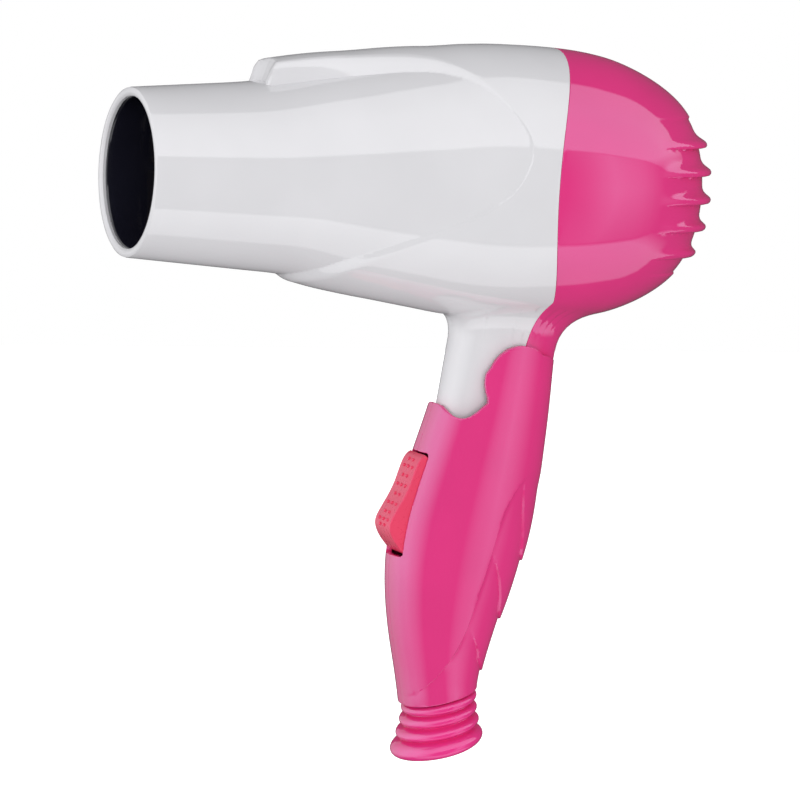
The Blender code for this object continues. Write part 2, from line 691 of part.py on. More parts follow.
clear_scene()
PIECES = make_collection("hair_dryer")
CUTTERS = make_collection("cutters")
ROOT = add_empty("dryer_frame", (0, 0, 0))
FOLD = add_empty("fold_axis", (PIVOT_X, 0, PIVOT_Z), ROOT)
ROCK = add_empty("rocker_axis", (ROCKER_X, 0, ROCKER_Z), FOLD)
SPIN = add_empty("fan_axis", (FAN_X, 0, 0), ROOT)

front_housing, rear_housing = make_housings()
make_louvres(rear_housing)
make_handle()
make_boot()
make_switch()
make_wiring()
make_heater()
make_fan()

ROOT.location = Vector((-BOX_CENTRE_X, 0, -BOX_CENTRE_Z)) * MM
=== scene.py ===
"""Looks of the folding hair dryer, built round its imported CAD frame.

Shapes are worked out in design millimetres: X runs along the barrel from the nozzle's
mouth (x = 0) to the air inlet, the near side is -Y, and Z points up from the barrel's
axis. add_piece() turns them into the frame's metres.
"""
import json
import math

import bmesh
import bpy
import numpy as np
from mathutils import Matrix, Vector


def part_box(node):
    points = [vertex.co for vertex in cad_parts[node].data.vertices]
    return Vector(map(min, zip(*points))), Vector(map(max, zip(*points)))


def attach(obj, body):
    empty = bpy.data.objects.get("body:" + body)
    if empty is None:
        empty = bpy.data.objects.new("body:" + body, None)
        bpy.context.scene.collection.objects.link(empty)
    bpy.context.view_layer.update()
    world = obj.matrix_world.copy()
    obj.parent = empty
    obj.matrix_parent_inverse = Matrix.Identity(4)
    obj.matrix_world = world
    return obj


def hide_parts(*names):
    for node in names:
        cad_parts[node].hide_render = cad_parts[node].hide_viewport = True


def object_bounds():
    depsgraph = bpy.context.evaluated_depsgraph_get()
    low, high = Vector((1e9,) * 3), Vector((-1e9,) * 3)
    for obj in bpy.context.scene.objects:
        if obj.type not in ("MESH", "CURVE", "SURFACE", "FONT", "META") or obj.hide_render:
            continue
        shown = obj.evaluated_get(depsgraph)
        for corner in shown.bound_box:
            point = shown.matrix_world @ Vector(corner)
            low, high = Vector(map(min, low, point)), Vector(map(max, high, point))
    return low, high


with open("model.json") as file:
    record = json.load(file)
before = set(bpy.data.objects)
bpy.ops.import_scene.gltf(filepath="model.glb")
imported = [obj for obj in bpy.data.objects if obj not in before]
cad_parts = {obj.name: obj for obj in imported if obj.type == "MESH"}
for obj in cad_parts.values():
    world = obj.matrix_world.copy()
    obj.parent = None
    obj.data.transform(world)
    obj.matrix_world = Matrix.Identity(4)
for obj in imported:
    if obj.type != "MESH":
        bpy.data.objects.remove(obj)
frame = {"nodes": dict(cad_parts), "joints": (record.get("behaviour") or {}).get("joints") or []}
CAD_BOX = [list(corner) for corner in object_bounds()]

MM = 0.001
JOINTS = {joint["name"]: joint for joint in frame["joints"]}
BARREL_AXIS_Z = JOINTS["fan_spin"]["pos_m"][2]
ORIGIN = Vector((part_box("front_housing")[0].x, 0.0, BARREL_AXIS_Z))


def to_design(point):
    """A frame point, in metres, as design millimetres."""
    return (Vector(point) - ORIGIN) / MM


PIVOT = to_design(JOINTS["handle_fold"]["pos_m"])
ROCK_AXIS = to_design(JOINTS["switch_rock"]["pos_m"])

# ---- driving dimensions, in mm ------------------------------------------------------
WALL = 2.1
HANDLE_WALL = 1.45
GAP = 0.3
MOUTH_START = 1.2           # the outer skin starts here, and the rim rounds forward from it
SHEET_RADIUS = 29.0         # turns an angle round the barrel into a distance on the flat sheet

# The barrel's smooth body: x, side radius, top height, bottom depth.
BODY = (
    (0.0, 23.30, 23.30, 23.30), (12.0, 24.25, 24.25, 24.25), (24.0, 25.20, 25.20, 25.20),
    (33.0, 25.91, 25.95, 25.91), (37.0, 26.22, 26.45, 26.22), (46.5, 26.97, 28.2, 27.0),
    (54.0, 27.57, 29.8, 28.7), (64.5, 28.40, 31.7, 31.3), (76.0, 29.30, 34.2, 33.6),
    (88.0, 30.25, 36.5, 35.8), (98.0, 30.95, 38.7, 37.4), (108.0, 31.9, 39.4, 38.1),
    (118.0, 33.2, 39.4, 38.2), (130.0, 34.0, 39.0, 38.0), (143.0, 33.1, 37.3, 37.0),
    (152.0, 30.9, 34.4, 34.5), (160.0, 27.5, 30.6, 30.8), (166.0, 23.4, 26.5, 26.6),
    (170.0, 18.4, 21.8, 21.8), (172.6, 11.9, 14.2, 14.2), (173.6, 5.0, 6.0, 6.0),
    (173.9, 0.0, 0.0, 0.0),
)
# Where the nozzle's cone runs into the body: x, and the angle from the top in degrees.
CREASE = ((38.4, 0), (38.1, 6), (37.4, 12), (38.0, 16.5), (44, 17.2), (54, 18.0), (66, 19.6),
          (78, 22.4), (86, 25.6), (93, 32), (98.6, 40), (103.4, 50), (106.8, 60), (108, 68),
          (107.2, 77),
          (102.9, 90), (96, 99.5), (88.2, 108), (73.7, 120), (61.2, 132.5), (53, 147),
          (48.5, 160), (46.6, 170), (46.0, 180))
# How far the body stands above the cone's end, at the top and at the bottom: x, height, width.
SPINE_STEP = ((36, 5.9, 2.0), (46.5, 5.6, 2.3), (54, 5.1, 2.6), (64.5, 4.2, 2.9),
              (76, 3.1, 3.1), (84, 2.2, 2.6), (90, 1.3, 1.8), (96, 0.6, 1.0), (104, 0.26, 0.4),
              (180, 0.26, 0.4))
BELLY_STEP = ((44, 1.3, 2.8), (54, 1.4, 2.9), (64.5, 0.9, 2.2), (76, 0.45, 1.1), (90, 0.25, 0.45),
              (180, 0.25, 0.45))

SEAM_X = 116.0
SEAM_BOW = 11.3
SEAM_TOP = 39.0
NECK_SEAM_Z = -32.0
NECK_SEAM_LEAN = 0.235
SEAM_LIP = 0.2              # radius of the rounded edges along the seam
SEAM_GAP = 0.05
PARTING_GAP = 0.06          # between the handle's two halves
PARTING_LIP = 0.08

NECK_X = 116.9
NECK_Z = -48.0
NECK_LEAN = 0.14
NECK_DEPTH = 16.5
NECK_WIDTH = 9.5
NECK_DRAFT = 0.0075         # share of its width that it loses per mm inside the handle
OVAL_POWER = 2.3
NECK_ROOT_Z = -38.0         # height at which the neck's footprint on the barrel is centred
FOOT_FRONT = 20.3           # half sizes of that footprint
FOOT_REAR = 26.5
FOOT_SIDE = 16.5
NECK_LEVELS = (-50.0, -53.5, -57.0, -60.5, -64.0, -68.0, -72.0, -76.0)
KNUCKLE_FRONT = 22.7
KNUCKLE_REAR = 12.0
KNUCKLE_Z = -50.0
NECK_TOP_Z = -45.0          # only what lies below this is trimmed to the knuckle
KNUCKLE_TURNS = (-130, -143)
AXLE_RADIUS = 3.0

INLET_X = 146.0             # the inlet lies behind this
CAP_EDGE = 0.8              # height over which the caps drop to the inlet's field
FIN_HEIGHTS = (14.4, 6.6, -1.3, -9.2, -17.0)
FIN_PROUD = 2.7             # above the recessed inlet
RECESS = 0.7                # depth of the inlet's field below the caps above and below it
BROW_Z = 21.6               # lower edge of the cap above the inlet
LIP_Z = -23.6               # upper edge of the cap below it
SLOT_HALF = 1.7

# Handle stations: z, centre x, half depth, half width.
HANDLE = (
    (-36.0, 118.0, 15.5, 12.0), (-43.0, 117.25, 15.9, 12.1), (-52.0, 116.0, 16.65, 12.2),
    (-62.0, 114.7, 17.7, 12.3), (-77.0, 111.9, 19.5, 12.9), (-88.0, 109.8, 20.7, 13.3),
    (-97.0, 108.2, 21.5, 13.5), (-106.0, 106.8, 21.1, 13.4), (-115.0, 105.4, 19.6, 13.0),
    (-124.0, 104.3, 17.5, 12.4), (-135.0, 103.4, 14.4, 11.6), (-144.0, 103.3, 12.1, 11.0),
    (-156.0, 104.0, 10.6, 10.2), (-164.0, 104.8, 10.0, 9.8),
)
EAR_RADIUS = 10.4
EAR_LOBE = 11.2             # the ear's lower front stands out a little
EAR_LIP = 0.3
NOTCH = ((70, -62.8), (95.0, -62.8), (96.6, -63.0), (97.4, -63.9), (98.4, -65.2), (99.9, -66.2),
         (102.2, -66.3), (104.8, -64.9), (107.0, -63.0), (108.4, -61.9))
HANDLE_END = (104.1, -148.3)
END_TILT = math.radians(14)
GRIP_LINE = ((131.0, -77.5), (124.5, -81.5), (120.7, -84.8), (118.2, -87.6), (115.7, -92.0),
             (113.7, -97.8), (112.0, -104.6), (110.2, -111.4), (108.2, -118.9),
             (105.9, -127.1), (102.8, -134.0), (98.6, -140.2), (94.0, -145.7), (88.0, -152.5))
GRIP_DROP = 0.35
GRIP_STEPS = (
    ((121.6, -83.0), (122.3, -88.0), (122.9, -94.1), (124.0, -101.7), (124.9, -107.0),
     (131.0, -113.0)),
    ((112.2, -104.0), (114.4, -108.6), (116.1, -112.6), (117.5, -118.1), (118.9, -123.8),
     (126.0, -131.5)),
    ((107.2, -126.5), (109.3, -130.2), (111.2, -133.6), (112.9, -137.6), (121.0, -146.5)),
)
GRIP_STEP = 0.7
SCREW_PLACES = ((121.0, -86.0), (97.0, -127.0))
SCREW_WELL = 3.0
SLOT_CENTRE_Z = -92.1
SLOT_HALF_HEIGHT = 14.95
SLOT_HALF_WIDTH = 5.65
SLOT_LIP = 0.2

BOOT_RIBS = ((1.9, 11.15), (5.4, 11.5), (9.1, 12.3))
BOOT_FLANGE = (13.7, 13.7)
BOOT_LENGTH = 16.2
BOOT_BORE = 3.4

ROCKER_HALF_WIDTH = 5.5
ROCKER_FACE = ((92.7, -77.7), (91.5, -78.6), (90.4, -80.4), (89.3, -83.5), (88.2, -86.9),
               (86.7, -90.2), (84.9, -93.4), (83.4, -96.2), (82.9, -98.3), (83.4, -100.4),
               (84.6, -102.5), (86.1, -104.4), (87.8, -106.1), (90.0, -106.8))


# ---- curves and fields --------------------------------------------------------------
def monotone(xs, ys, at):
    """A smooth curve through stations that never overshoots them."""
    xs, ys = np.asarray(xs, float), np.asarray(ys, float)
    step = np.diff(xs)
    slope = np.diff(ys) / step
    tangent = np.zeros(len(xs))
    same = slope[:-1] * slope[1:] > 0
    first, second = 2 * step[1:] + step[:-1], step[1:] + 2 * step[:-1]
    before, after = np.where(same, slope[:-1], 1.0), np.where(same, slope[1:], 1.0)
    tangent[1:-1] = np.where(same, (first + second) / (first / before + second / after), 0.0)
    tangent[0], tangent[-1] = slope[0], slope[-1]
    i = np.clip(np.searchsorted(xs, at) - 1, 0, len(step) - 1)
    t = np.clip((at - xs[i]) / step[i], 0, 1)
    return (ys[i] * (1 + 2 * t) * (1 - t) ** 2 + step[i] * tangent[i] * t * (1 - t) ** 2
            + ys[i + 1] * t * t * (3 - 2 * t) - step[i] * tangent[i + 1] * t * t * (1 - t))


def faired(values, sigma, closed_end=None):
    """Evens out a densely sampled curve; its ends carry on as they arrive there."""
    reach = int(4 * sigma)
    kernel = np.exp(-0.5 * (np.arange(-reach, reach + 1) / sigma) ** 2)
    kernel /= kernel.sum()
    head = 2 * values[0] - values[reach:0:-1]
    mirrored = values[-2:-reach - 2:-1]
    tail = {"even": mirrored, "odd": 2 * values[-1] - mirrored}[closed_end or "odd"]
    return np.convolve(np.concatenate([head, values, tail]), kernel, mode="valid")


def smooth_step(value):
    t = np.clip(value, 0, 1)
    return t * t * (3 - 2 * t)


def curved(points, per_span=6):
    """A denser, rounder version of an open outline."""
    route = np.asarray(points, float)
    route = np.vstack([2 * route[0] - route[1], route, 2 * route[-1] - route[-2]])
    out = []
    for i in range(1, len(route) - 2):
        a, b, c, d = route[i - 1:i + 3]
        for t in np.linspace(0, 1, per_span, endpoint=False):
            out.append(0.5 * (2 * b + (c - a) * t + (2 * a - 5 * b + 4 * c - d) * t * t
                              + (3 * b - a - 3 * c + d) * t ** 3))
    return np.array(out + [route[-2]])


def distance_to(points, line):
    """Distance of each point from an open line, and on which side it lies (left is +)."""
    best = np.full(len(points), 1e9)
    side = np.zeros(len(points))
    for a, b in zip(line[:-1], line[1:]):
        along = b - a
        t = np.clip((points - a) @ along / max(along @ along, 1e-12), 0, 1)
        off = points - a - t[:, None] * along
        gap = np.hypot(off[:, 0], off[:, 1])
        turn = along[0] * (points[:, 1] - a[1]) - along[1] * (points[:, 0] - a[0])
        turn = turn / max(math.hypot(*along), 1e-9)
        closer = (gap < best - 1e-9) | ((gap < best + 1e-9) & (np.abs(turn) > np.abs(side)))
        side = np.where(closer, turn, side)
        best = np.minimum(best, gap)
    return best * np.where(side < 0, -1.0, 1.0)


def inside(points, outline):
    """True where a point lies inside a closed outline."""
    count = np.zeros(len(points), int)
    for a, b in zip(outline, np.roll(outline, -1, axis=0)):
        spans = (a[1] > points[:, 1]) != (b[1] > points[:, 1])
        rise = (b[1] - a[1]) or 1e-12
        count += spans & (points[:, 0] < a[0] + (points[:, 1] - a[1]) * (b[0] - a[0]) / rise)
    return count % 2 == 1


def outline_depth(points, outline):
    """How deep each point lies inside a closed outline; negative outside."""
    closed = np.vstack([outline, outline[:1]])
    return np.abs(distance_to(points, closed)) * np.where(inside(points, outline), 1.0, -1.0)


def arc(centre, radius, start, end, count):
    """Points of an arc in the side view, angles in degrees from +X towards +Z."""
    angles = np.radians(np.linspace(start, end, count))
    return np.stack([centre[0] + radius * np.cos(angles), centre[1] + radius * np.sin(angles)], 1)


# ---- mesh tools ---------------------------------------------------------------------
def coordinates(bm):
    return np.array([v.co for v in bm.verts], float).reshape(-1, 3)


def cut_along(bm, field, snap=0.14):
    """Draws the field's zero line into the mesh: vertices close to it move onto it, and
    edges that cross it are split. Returns the vertices on the line."""
    base = bm.verts.layers.float_vector.get("base")
    bm.verts.index_update()
    bm.verts.ensure_lookup_table()
    values = field(coordinates(bm))
    ends = np.array([(e.verts[0].index, e.verts[1].index) for e in bm.edges])
    crossing = np.nonzero(values[ends[:, 0]] * values[ends[:, 1]] < 0)[0]
    bm.edges.ensure_lookup_table()
    edges = [bm.edges[i] for i in crossing]
    moved = {}
    for edge in edges:
        a, b = edge.verts
        t = values[a.index] / (values[a.index] - values[b.index])
        for vertex, other, share in ((a, b, t), (b, a, 1 - t)):
            if share < snap and vertex.index not in moved and not vertex.is_boundary:
                moved[vertex.index] = (vertex, vertex.co.lerp(other.co, share),
                                       vertex[base].lerp(other[base], share) if base else None)
    line = []
    for index, (vertex, place, base_place) in moved.items():
        vertex.co = place
        if base:
            vertex[base] = base_place
        values[index] = 0.0
        line.append(vertex)
    for edge in edges:
        a, b = edge.verts
        va, vb = values[a.index], values[b.index]
        if va * vb < 0:
            _, vertex = bmesh.utils.edge_split(edge, a, va / (va - vb))
            line.append(vertex)
    if line:
        bmesh.ops.connect_verts(bm, verts=line)
    return line


def drop_faces(bm, field):
    """Deletes the faces whose middle has a negative field."""
    faces = list(bm.faces)
    middles = np.array([f.calc_center_median() for f in faces], float)
    gone = [f for f, value in zip(faces, field(middles)) if value < 0]
    bmesh.ops.delete(bm, geom=gone, context="FACES")


def face_out(bm, way):
    """Points an open skin's normals outwards, judged by its furthest face this way."""
    bmesh.ops.recalc_face_normals(bm, faces=bm.faces)
    probe = max(bm.faces, key=lambda f: f.calc_center_median().dot(way))
    if probe.normal.dot(way) < 0:
        bmesh.ops.reverse_faces(bm, faces=bm.faces)


def boundary_ways(bm):
    """For each vertex on an open edge: the direction that leads off the surface."""
    ways = {}
    for edge in bm.edges:
        if not edge.is_boundary:
            continue
        face = edge.link_faces[0]
        along = edge.verts[1].co - edge.verts[0].co
        way = along.cross(face.normal)
        middle = (edge.verts[0].co + edge.verts[1].co) / 2
        if way.dot(middle - face.calc_center_median()) < 0:
            way.negate()
        if way.length < 1e-9:
            continue
        way.normalize()
        for vertex in edge.verts:
            ways[vertex] = ways.get(vertex, Vector()) + way
    for vertex, way in ways.items():
        way -= vertex.normal * way.dot(vertex.normal)
        if way.length > 1e-9:
            way.normalize()
    return ways


def fill_strips(bm, edge_pairs, columns):
    """Faces between the columns of vertices that start at each edge's two ends."""
    for a, b in edge_pairs:
        for lower_a, upper_a, lower_b, upper_b in zip(
                columns[a], columns[a][1:], columns[b], columns[b][1:]):
            bm.faces.new((lower_a, lower_b, upper_b, upper_a))


def round_profile(radius, wall, steps=3):
    """(reach, depth) pairs of a rounded edge, from the surface to the inner wall."""
    turns = [math.pi / 2 * (i + 1) / steps for i in range(steps)]
    return [(radius * math.sin(t), radius * (1 - math.cos(t))) for t in turns] + [(radius, wall)]


def thicken(bm, wall, profile_of):
    """Makes a closed shell from an open skin: rounded open edges and an inner face."""
    base = bm.verts.layers.float_vector.get("base")
    bm.normal_update()
    verts, faces = list(bm.verts), list(bm.faces)
    edge_pairs = [tuple(e.verts) for e in bm.edges if e.is_boundary]
    ways = boundary_ways(bm)
    normals = {v: v.normal.copy() for v in verts}
    shown = {v: v.co.copy() for v in verts}
    for v in verts:
        v.co = v[base]
    bm.normal_update()
    inner_place = {v: v.co - v.normal * wall for v in verts}
    for v in verts:
        v.co = shown[v]
    columns = {}
    inner = {}
    for v in verts:
        if v in ways:
            columns[v] = [v] + [bm.verts.new(v.co + ways[v] * reach - normals[v] * depth)
                                for reach, depth in profile_of(v.co)]
            inner[v] = columns[v][-1]
        else:
            inner[v] = bm.verts.new(inner_place[v])
    for v in bm.verts:
        if v[base].length == 0:
            v[base] = v.co
    for face in faces:
        bm.faces.new([inner[v] for v in reversed(face.verts)])
    fill_strips(bm, edge_pairs, columns)
    bmesh.ops.recalc_face_normals(bm, faces=bm.faces)


def add_piece(name, bm, body, material, replaces=(), sharp=38.0):
    """Turns a design-space mesh into a piece of the object in the frame."""
    mesh = bpy.data.meshes.new(name)
    bmesh.ops.transform(bm, verts=bm.verts,
                        matrix=Matrix.Translation(ORIGIN) @ Matrix.Scale(MM, 4))
    bm.to_mesh(mesh)
    bm.free()
    mesh.shade_smooth()
    mesh.set_sharp_from_angle(angle=math.radians(sharp))
    mesh.materials.append(material)
    piece = bpy.data.objects.new(name, mesh)
    bpy.context.scene.collection.objects.link(piece)
    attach(piece, body)
    if replaces:
        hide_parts(*replaces)
    return piece


def turned(profile, sides):
    """Turns a closed outline of (along, radius) points round the X direction."""
    bm = bmesh.new()
    rows = [[bm.verts.new((x, radius * math.sin(2 * math.pi * i / sides),
                           radius * math.cos(2 * math.pi * i / sides)))
             for i in range(sides)] for x, radius in profile]
    for row, following in zip(rows, rows[1:] + rows[:1]):
        for i in range(sides):
            j = (i + 1) % sides
            bm.faces.new((row[i], row[j], following[j], following[i]))
    bmesh.ops.recalc_face_normals(bm, faces=bm.faces)
    return bm


def merged(*meshes):
    """Several meshes as one."""
    joined = bmesh.new()
    for bm in meshes:
        mesh = bpy.data.meshes.new("part")
        bm.to_mesh(mesh)
        bm.free()
        joined.from_mesh(mesh)
        bpy.data.meshes.remove(mesh)
    return joined


# ---- barrel -------------------------------------------------------------------------
class Body:
    """The barrel's smooth body as curves over the distance along its side profile."""

    STEP = 0.25
    BLUR = 12               # samples, so 3 mm

    def __init__(self):
        rows = np.array(BODY, float)
        steps = np.hypot(np.diff(rows[:, 0]), np.diff(rows[:, 1]))
        travel = np.concatenate([[0], np.cumsum(steps)])
        self.along = np.arange(0, travel[-1], self.STEP)
        kinds = ("even", "odd", "odd", "odd")
        self.curves = [faired(monotone(travel, rows[:, i], self.along), self.BLUR, kinds[i])
                       for i in range(4)]
        for i in (1, 2, 3):     # the rear closes on the axis
            self.curves[i][-1] = 0.0
        self.length = self.along[-1]

    def at(self, along):
        return [np.interp(along, self.along, curve) for curve in self.curves]

    def distance(self, x):
        """Distance along the profile at which the body has this x."""
        return float(np.interp(x, self.curves[0], self.along))


BARREL = Body()
CREASE_LINE = curved([(x, math.radians(angle) * SHEET_RADIUS) for x, angle in CREASE], 8)
CREASE_AREA = np.vstack([CREASE_LINE, [(-60, CREASE_LINE[-1][1] + 5)], [(-60, -5)],
                         [(CREASE_LINE[0][0], -5)]])


def body_point(along, angle):
    """Point of the smooth body; angle runs from the top towards the near side."""
    x, side, top, bottom = BARREL.at(along)
    upright = np.where(np.cos(angle) > 0, top, bottom)
    c, s = np.cos(angle), np.sin(angle)
    with np.errstate(divide="ignore", invalid="ignore"):
        radius = 1 / np.sqrt((c / np.maximum(upright, 1e-6)) ** 2
                             + (s / np.maximum(side, 1e-6)) ** 2)
    return x, radius


def crease_depth(points):
    """How far a sheet point lies outside the cone's end, in mm; negative on the cone."""
    flat = np.stack([BARREL.at(points[:, 0])[0], np.abs(points[:, 1])], 1)
    gap = np.abs(distance_to(flat, CREASE_LINE))
    return np.where(inside(flat, CREASE_AREA), -gap, gap)


def step_sizes(points):
    """Height and half width of the step beside each sheet point."""
    x = BARREL.at(points[:, 0])[0]
    low = smooth_step((np.abs(points[:, 1]) / SHEET_RADIUS - math.radians(80))
                      / math.radians(25))
    sizes = []
    for column in (1, 2):
        top = monotone([row[0] for row in SPINE_STEP], [row[column] for row in SPINE_STEP], x)
        bottom = monotone([row[0] for row in BELLY_STEP], [row[column] for row in BELLY_STEP], x)
        sizes.append(top * (1 - low) + bottom * low)
    return sizes


def step_line(share):
    """Sheet field that is 0 where the step has travelled this share of its half width."""
    def field(points):
        _, width = step_sizes(points)
        return crease_depth(points) - share * width
    return field


STEP_LINES = (0.0, 0.6, 1.0, 1.4)


def step_rise(points):
    """The step's height at each sheet point: a straight flank and a rounded shoulder."""
    height, width = step_sizes(points)
    t = np.maximum(crease_depth(points), 0) / width
    shape = np.where(t < 0.6, t, np.where(t < 1.4, 1 - (1.4 - t) ** 2 / 1.6, 1.0))
    return height * shape


def barrel_sheet():
    """The flat sheet that the barrel is rolled from: x is the distance along the
    profile, y the angle from the top times SHEET_RADIUS."""
    spans = ((MOUTH_START, 30, 2.0), (30, 60, 0.9), (60, 98, 1.4), (98, 145, 1.1))
    rows = []
    for start, end, pitch in spans:
        first, last = BARREL.distance(start), BARREL.distance(end)
        rows += list(np.linspace(first, last, int((last - first) / pitch), endpoint=False))
    rear = BARREL.distance(145)
    rows += list(np.linspace(rear, BARREL.length, int((BARREL.length - rear) / 0.75)))
    columns = np.radians(np.linspace(-180, 180, 361)) * SHEET_RADIUS
    bm = bmesh.new()
    grid = [[bm.verts.new((u, v, 0)) for v in columns] for u in rows]
    for row, following in zip(grid, grid[1:]):
        for i in range(len(columns) - 1):
            bm.faces.new((row[i], row[i + 1], following[i + 1], following[i]))
    return bm


def sheet_place(points):
    """Design-space point of the smooth body for each sheet point."""
    angle = points[:, 1] / SHEET_RADIUS
    x, radius = body_point(points[:, 0], angle)
    return np.stack([x, -radius * np.sin(angle), radius * np.cos(angle)], 1)


def level_field(height):
    """Sheet field that is 0 at this height, on the rear of the body only."""
    def field(points):
        place = sheet_place(points)
        return np.where(place[:, 0] > INLET_X, place[:, 2] - height, 1.0)
    return field


def rounded_box(across, up, half_across, half_up, radius):
    """Distance outside a box with rounded corners."""
    a = np.abs(across) - half_across + radius
    b = np.abs(up) - half_up + radius
    return (np.hypot(np.maximum(a, 0), np.maximum(b, 0)) + np.minimum(np.maximum(a, b), 0)
            - radius)


SLOT_HEIGHTS = [(a + b) / 2 + 0.6 for a, b in zip(FIN_HEIGHTS, FIN_HEIGHTS[1:])]


def slot_field(place):
    """Distance outside the inlet's slots, for design-space points."""
    best = np.full(len(place), 1e3)
    for height in SLOT_HEIGHTS:
        half = 15.0 - abs(height) * 0.25
        gap = rounded_box(place[:, 1], place[:, 2] - height, half, SLOT_HALF, SLOT_HALF * 0.9)
        best = np.minimum(best, gap)
    return np.where(place[:, 0] > 150, best, 1e3)


def neck_centre(z):
    return NECK_X + (z - NECK_Z) * NECK_LEAN


def foot_field(place):
    """Below 0 inside the neck's footprint on the barrel's underside."""
    centre = neck_centre(NECK_ROOT_Z)
    depth = np.where(place[:, 0] < centre, FOOT_FRONT, FOOT_REAR)
    size = (np.abs((place[:, 0] - centre) / depth) ** OVAL_POWER
            + np.abs(place[:, 1] / FOOT_SIDE) ** OVAL_POWER) ** (1 / OVAL_POWER)
    return np.where(place[:, 2] < 0, size - 1, 1.0)


FIN_SHAPE = ((-1.5, 0.0), (-1.4, 0.5), (-1.15, 0.82), (-0.7, 0.97), (-0.1, 1.0), (0.45, 0.9),
             (0.95, 0.66), (1.5, 0.38), (2.1, 0.17), (2.9, 0.04), (3.6, 0.0))


def inlet_push(place):
    """Horizontal travel of the rear surface: the inlet's field sinks, its fins stand out."""
    x, z = place[:, 0], place[:, 2]
    fade = smooth_step((x - INLET_X - 1) / 20)
    field = smooth_step((BROW_Z - z) / CAP_EDGE) * smooth_step((z - LIP_Z) / CAP_EDGE)
    push = -RECESS * fade * field
    for height in FIN_HEIGHTS:
        start = INLET_X + 2 + 0.1 * abs(height)
        grown = smooth_step((x - start) / 21) ** 0.8
        shape = np.interp(z - height, [s[0] for s in FIN_SHAPE], [s[1] for s in FIN_SHAPE])
        push += FIN_PROUD * grown * shape
    return push


def roll_barrel():
    """Cuts the sheet's feature lines, rolls it up and raises the steps and fins."""
    bm = barrel_sheet()
    for share in STEP_LINES:
        cut_along(bm, step_line(share))
    for height in FIN_HEIGHTS:
        for offset, _ in FIN_SHAPE:
            cut_along(bm, level_field(height + offset), 0.2)
    for height in (BROW_Z, BROW_Z - CAP_EDGE, LIP_Z, LIP_Z + CAP_EDGE):
        cut_along(bm, level_field(height), 0.2)
    cut_along(bm, lambda points: slot_field(sheet_place(points)), 0.2)
    cut_along(bm, lambda points: foot_field(sheet_place(points)))
    points = coordinates(bm)
    smooth = sheet_place(points)
    angle = points[:, 1] / SHEET_RADIUS
    x, radius = body_point(points[:, 0], angle)
    radius = radius + step_rise(points)
    shaped = np.stack([x, -radius * np.sin(angle), radius * np.cos(angle)], 1)
    base = bm.verts.layers.float_vector.new("base")
    for vertex, place in zip(bm.verts, smooth):
        vertex.co = place
    bm.normal_update()
    normals = np.array([v.normal for v in bm.verts])
    level = normals[:, :2] / np.maximum(np.hypot(normals[:, 0], normals[:, 1]), 0.3)[:, None]
    level *= np.where((normals[:, 0] * (smooth[:, 0] - 100) + normals[:, 1] * smooth[:, 1]) < 0,
                      -1.0, 1.0)[:, None]
    push = inlet_push(smooth)
    shaped[:, 0] += level[:, 0] * push
    shaped[:, 1] += level[:, 1] * push
    for vertex, place, start in zip(bm.verts, shaped, smooth):
        vertex.co = place
        vertex[base] = start
    bmesh.ops.remove_doubles(bm, verts=[v for v in bm.verts if v.is_boundary], dist=0.004)
    face_out(bm, Vector((0, 0, 1)))
    return bm


# ---- neck ---------------------------------------------------------------------------
def grow_neck(bm):
    """Removes the footprint's faces and grows the neck smoothly from its edge."""
    base = bm.verts.layers.float_vector["base"]
    drop_faces(bm, foot_field)
    bm.normal_update()
    centre = neck_centre(NECK_ROOT_Z)
    edges = [e for e in bm.edges if e.is_boundary
             and all(v.co.z < -20 and abs(v.co.x - centre) < FOOT_REAR + 1 for v in e.verts)]
    columns = {}
    for vertex in {v for e in edges for v in e.verts}:
        depth = FOOT_FRONT if vertex.co.x < centre else FOOT_REAR
        across = Vector(((vertex.co.x - centre) / depth, vertex.co.y / FOOT_SIDE))
        size = (abs(across.x) ** OVAL_POWER + abs(across.y) ** OVAL_POWER) ** (1 / OVAL_POWER)
        across /= size
        first = NECK_LEVELS[0] + 4.5 - 2.2 * max(0.0, across.x)
        end = Vector((neck_centre(first) + NECK_DEPTH * across.x, NECK_WIDTH * across.y, first))
        reach = end - vertex.co
        leave = reach - vertex.normal * reach.dot(vertex.normal)
        leave.normalize()
        leave *= reach.length * 1.15
        arrive = Vector((-NECK_LEAN, 0, -1)).normalized() * reach.length * 1.25
        column = [vertex]
        steps = 9
        for i in range(1, steps + 1):
            t = i / steps
            place = ((2 * t ** 3 - 3 * t * t + 1) * vertex.co + (t ** 3 - 2 * t * t + t) * leave
                     + (3 * t * t - 2 * t ** 3) * end + (t ** 3 - t * t) * arrive)
            column.append(bm.verts.new(place))
        for z in NECK_LEVELS:
            width = NECK_WIDTH * (1 - NECK_DRAFT * (NECK_LEVELS[0] - z))
            column.append(bm.verts.new((neck_centre(z) + NECK_DEPTH * across.x,
                                        width * across.y, z)))
        for made in column[1:]:
            made[base] = made.co
        columns[vertex] = column
    fill_strips(bm, [tuple(e.verts) for e in edges], columns)
    face_out(bm, Vector((0, 0, 1)))


def knuckle_outline():
    """Side view of what the neck may fill, so that the handle can swing round it."""
    pivot = (PIVOT.x, PIVOT.z)
    start = math.degrees(math.asin((KNUCKLE_Z - PIVOT.z) / KNUCKLE_REAR))
    rear = arc(pivot, KNUCKLE_REAR, start, KNUCKLE_TURNS[0], 24)
    front = arc(pivot, KNUCKLE_FRONT, KNUCKLE_TURNS[1], -190, 14)
    return np.vstack([[(-20, 60), (200, 60), (200, KNUCKLE_Z)], rear, front,
                      [(80, front[-1][1] + 6), (-20, front[-1][1] + 6)]])


def seam_x(z):
    upper = SEAM_X + SEAM_BOW * (np.maximum(z, NECK_SEAM_Z) / SEAM_TOP) ** 2
    return upper + np.minimum(z - NECK_SEAM_Z, 0) * NECK_SEAM_LEAN


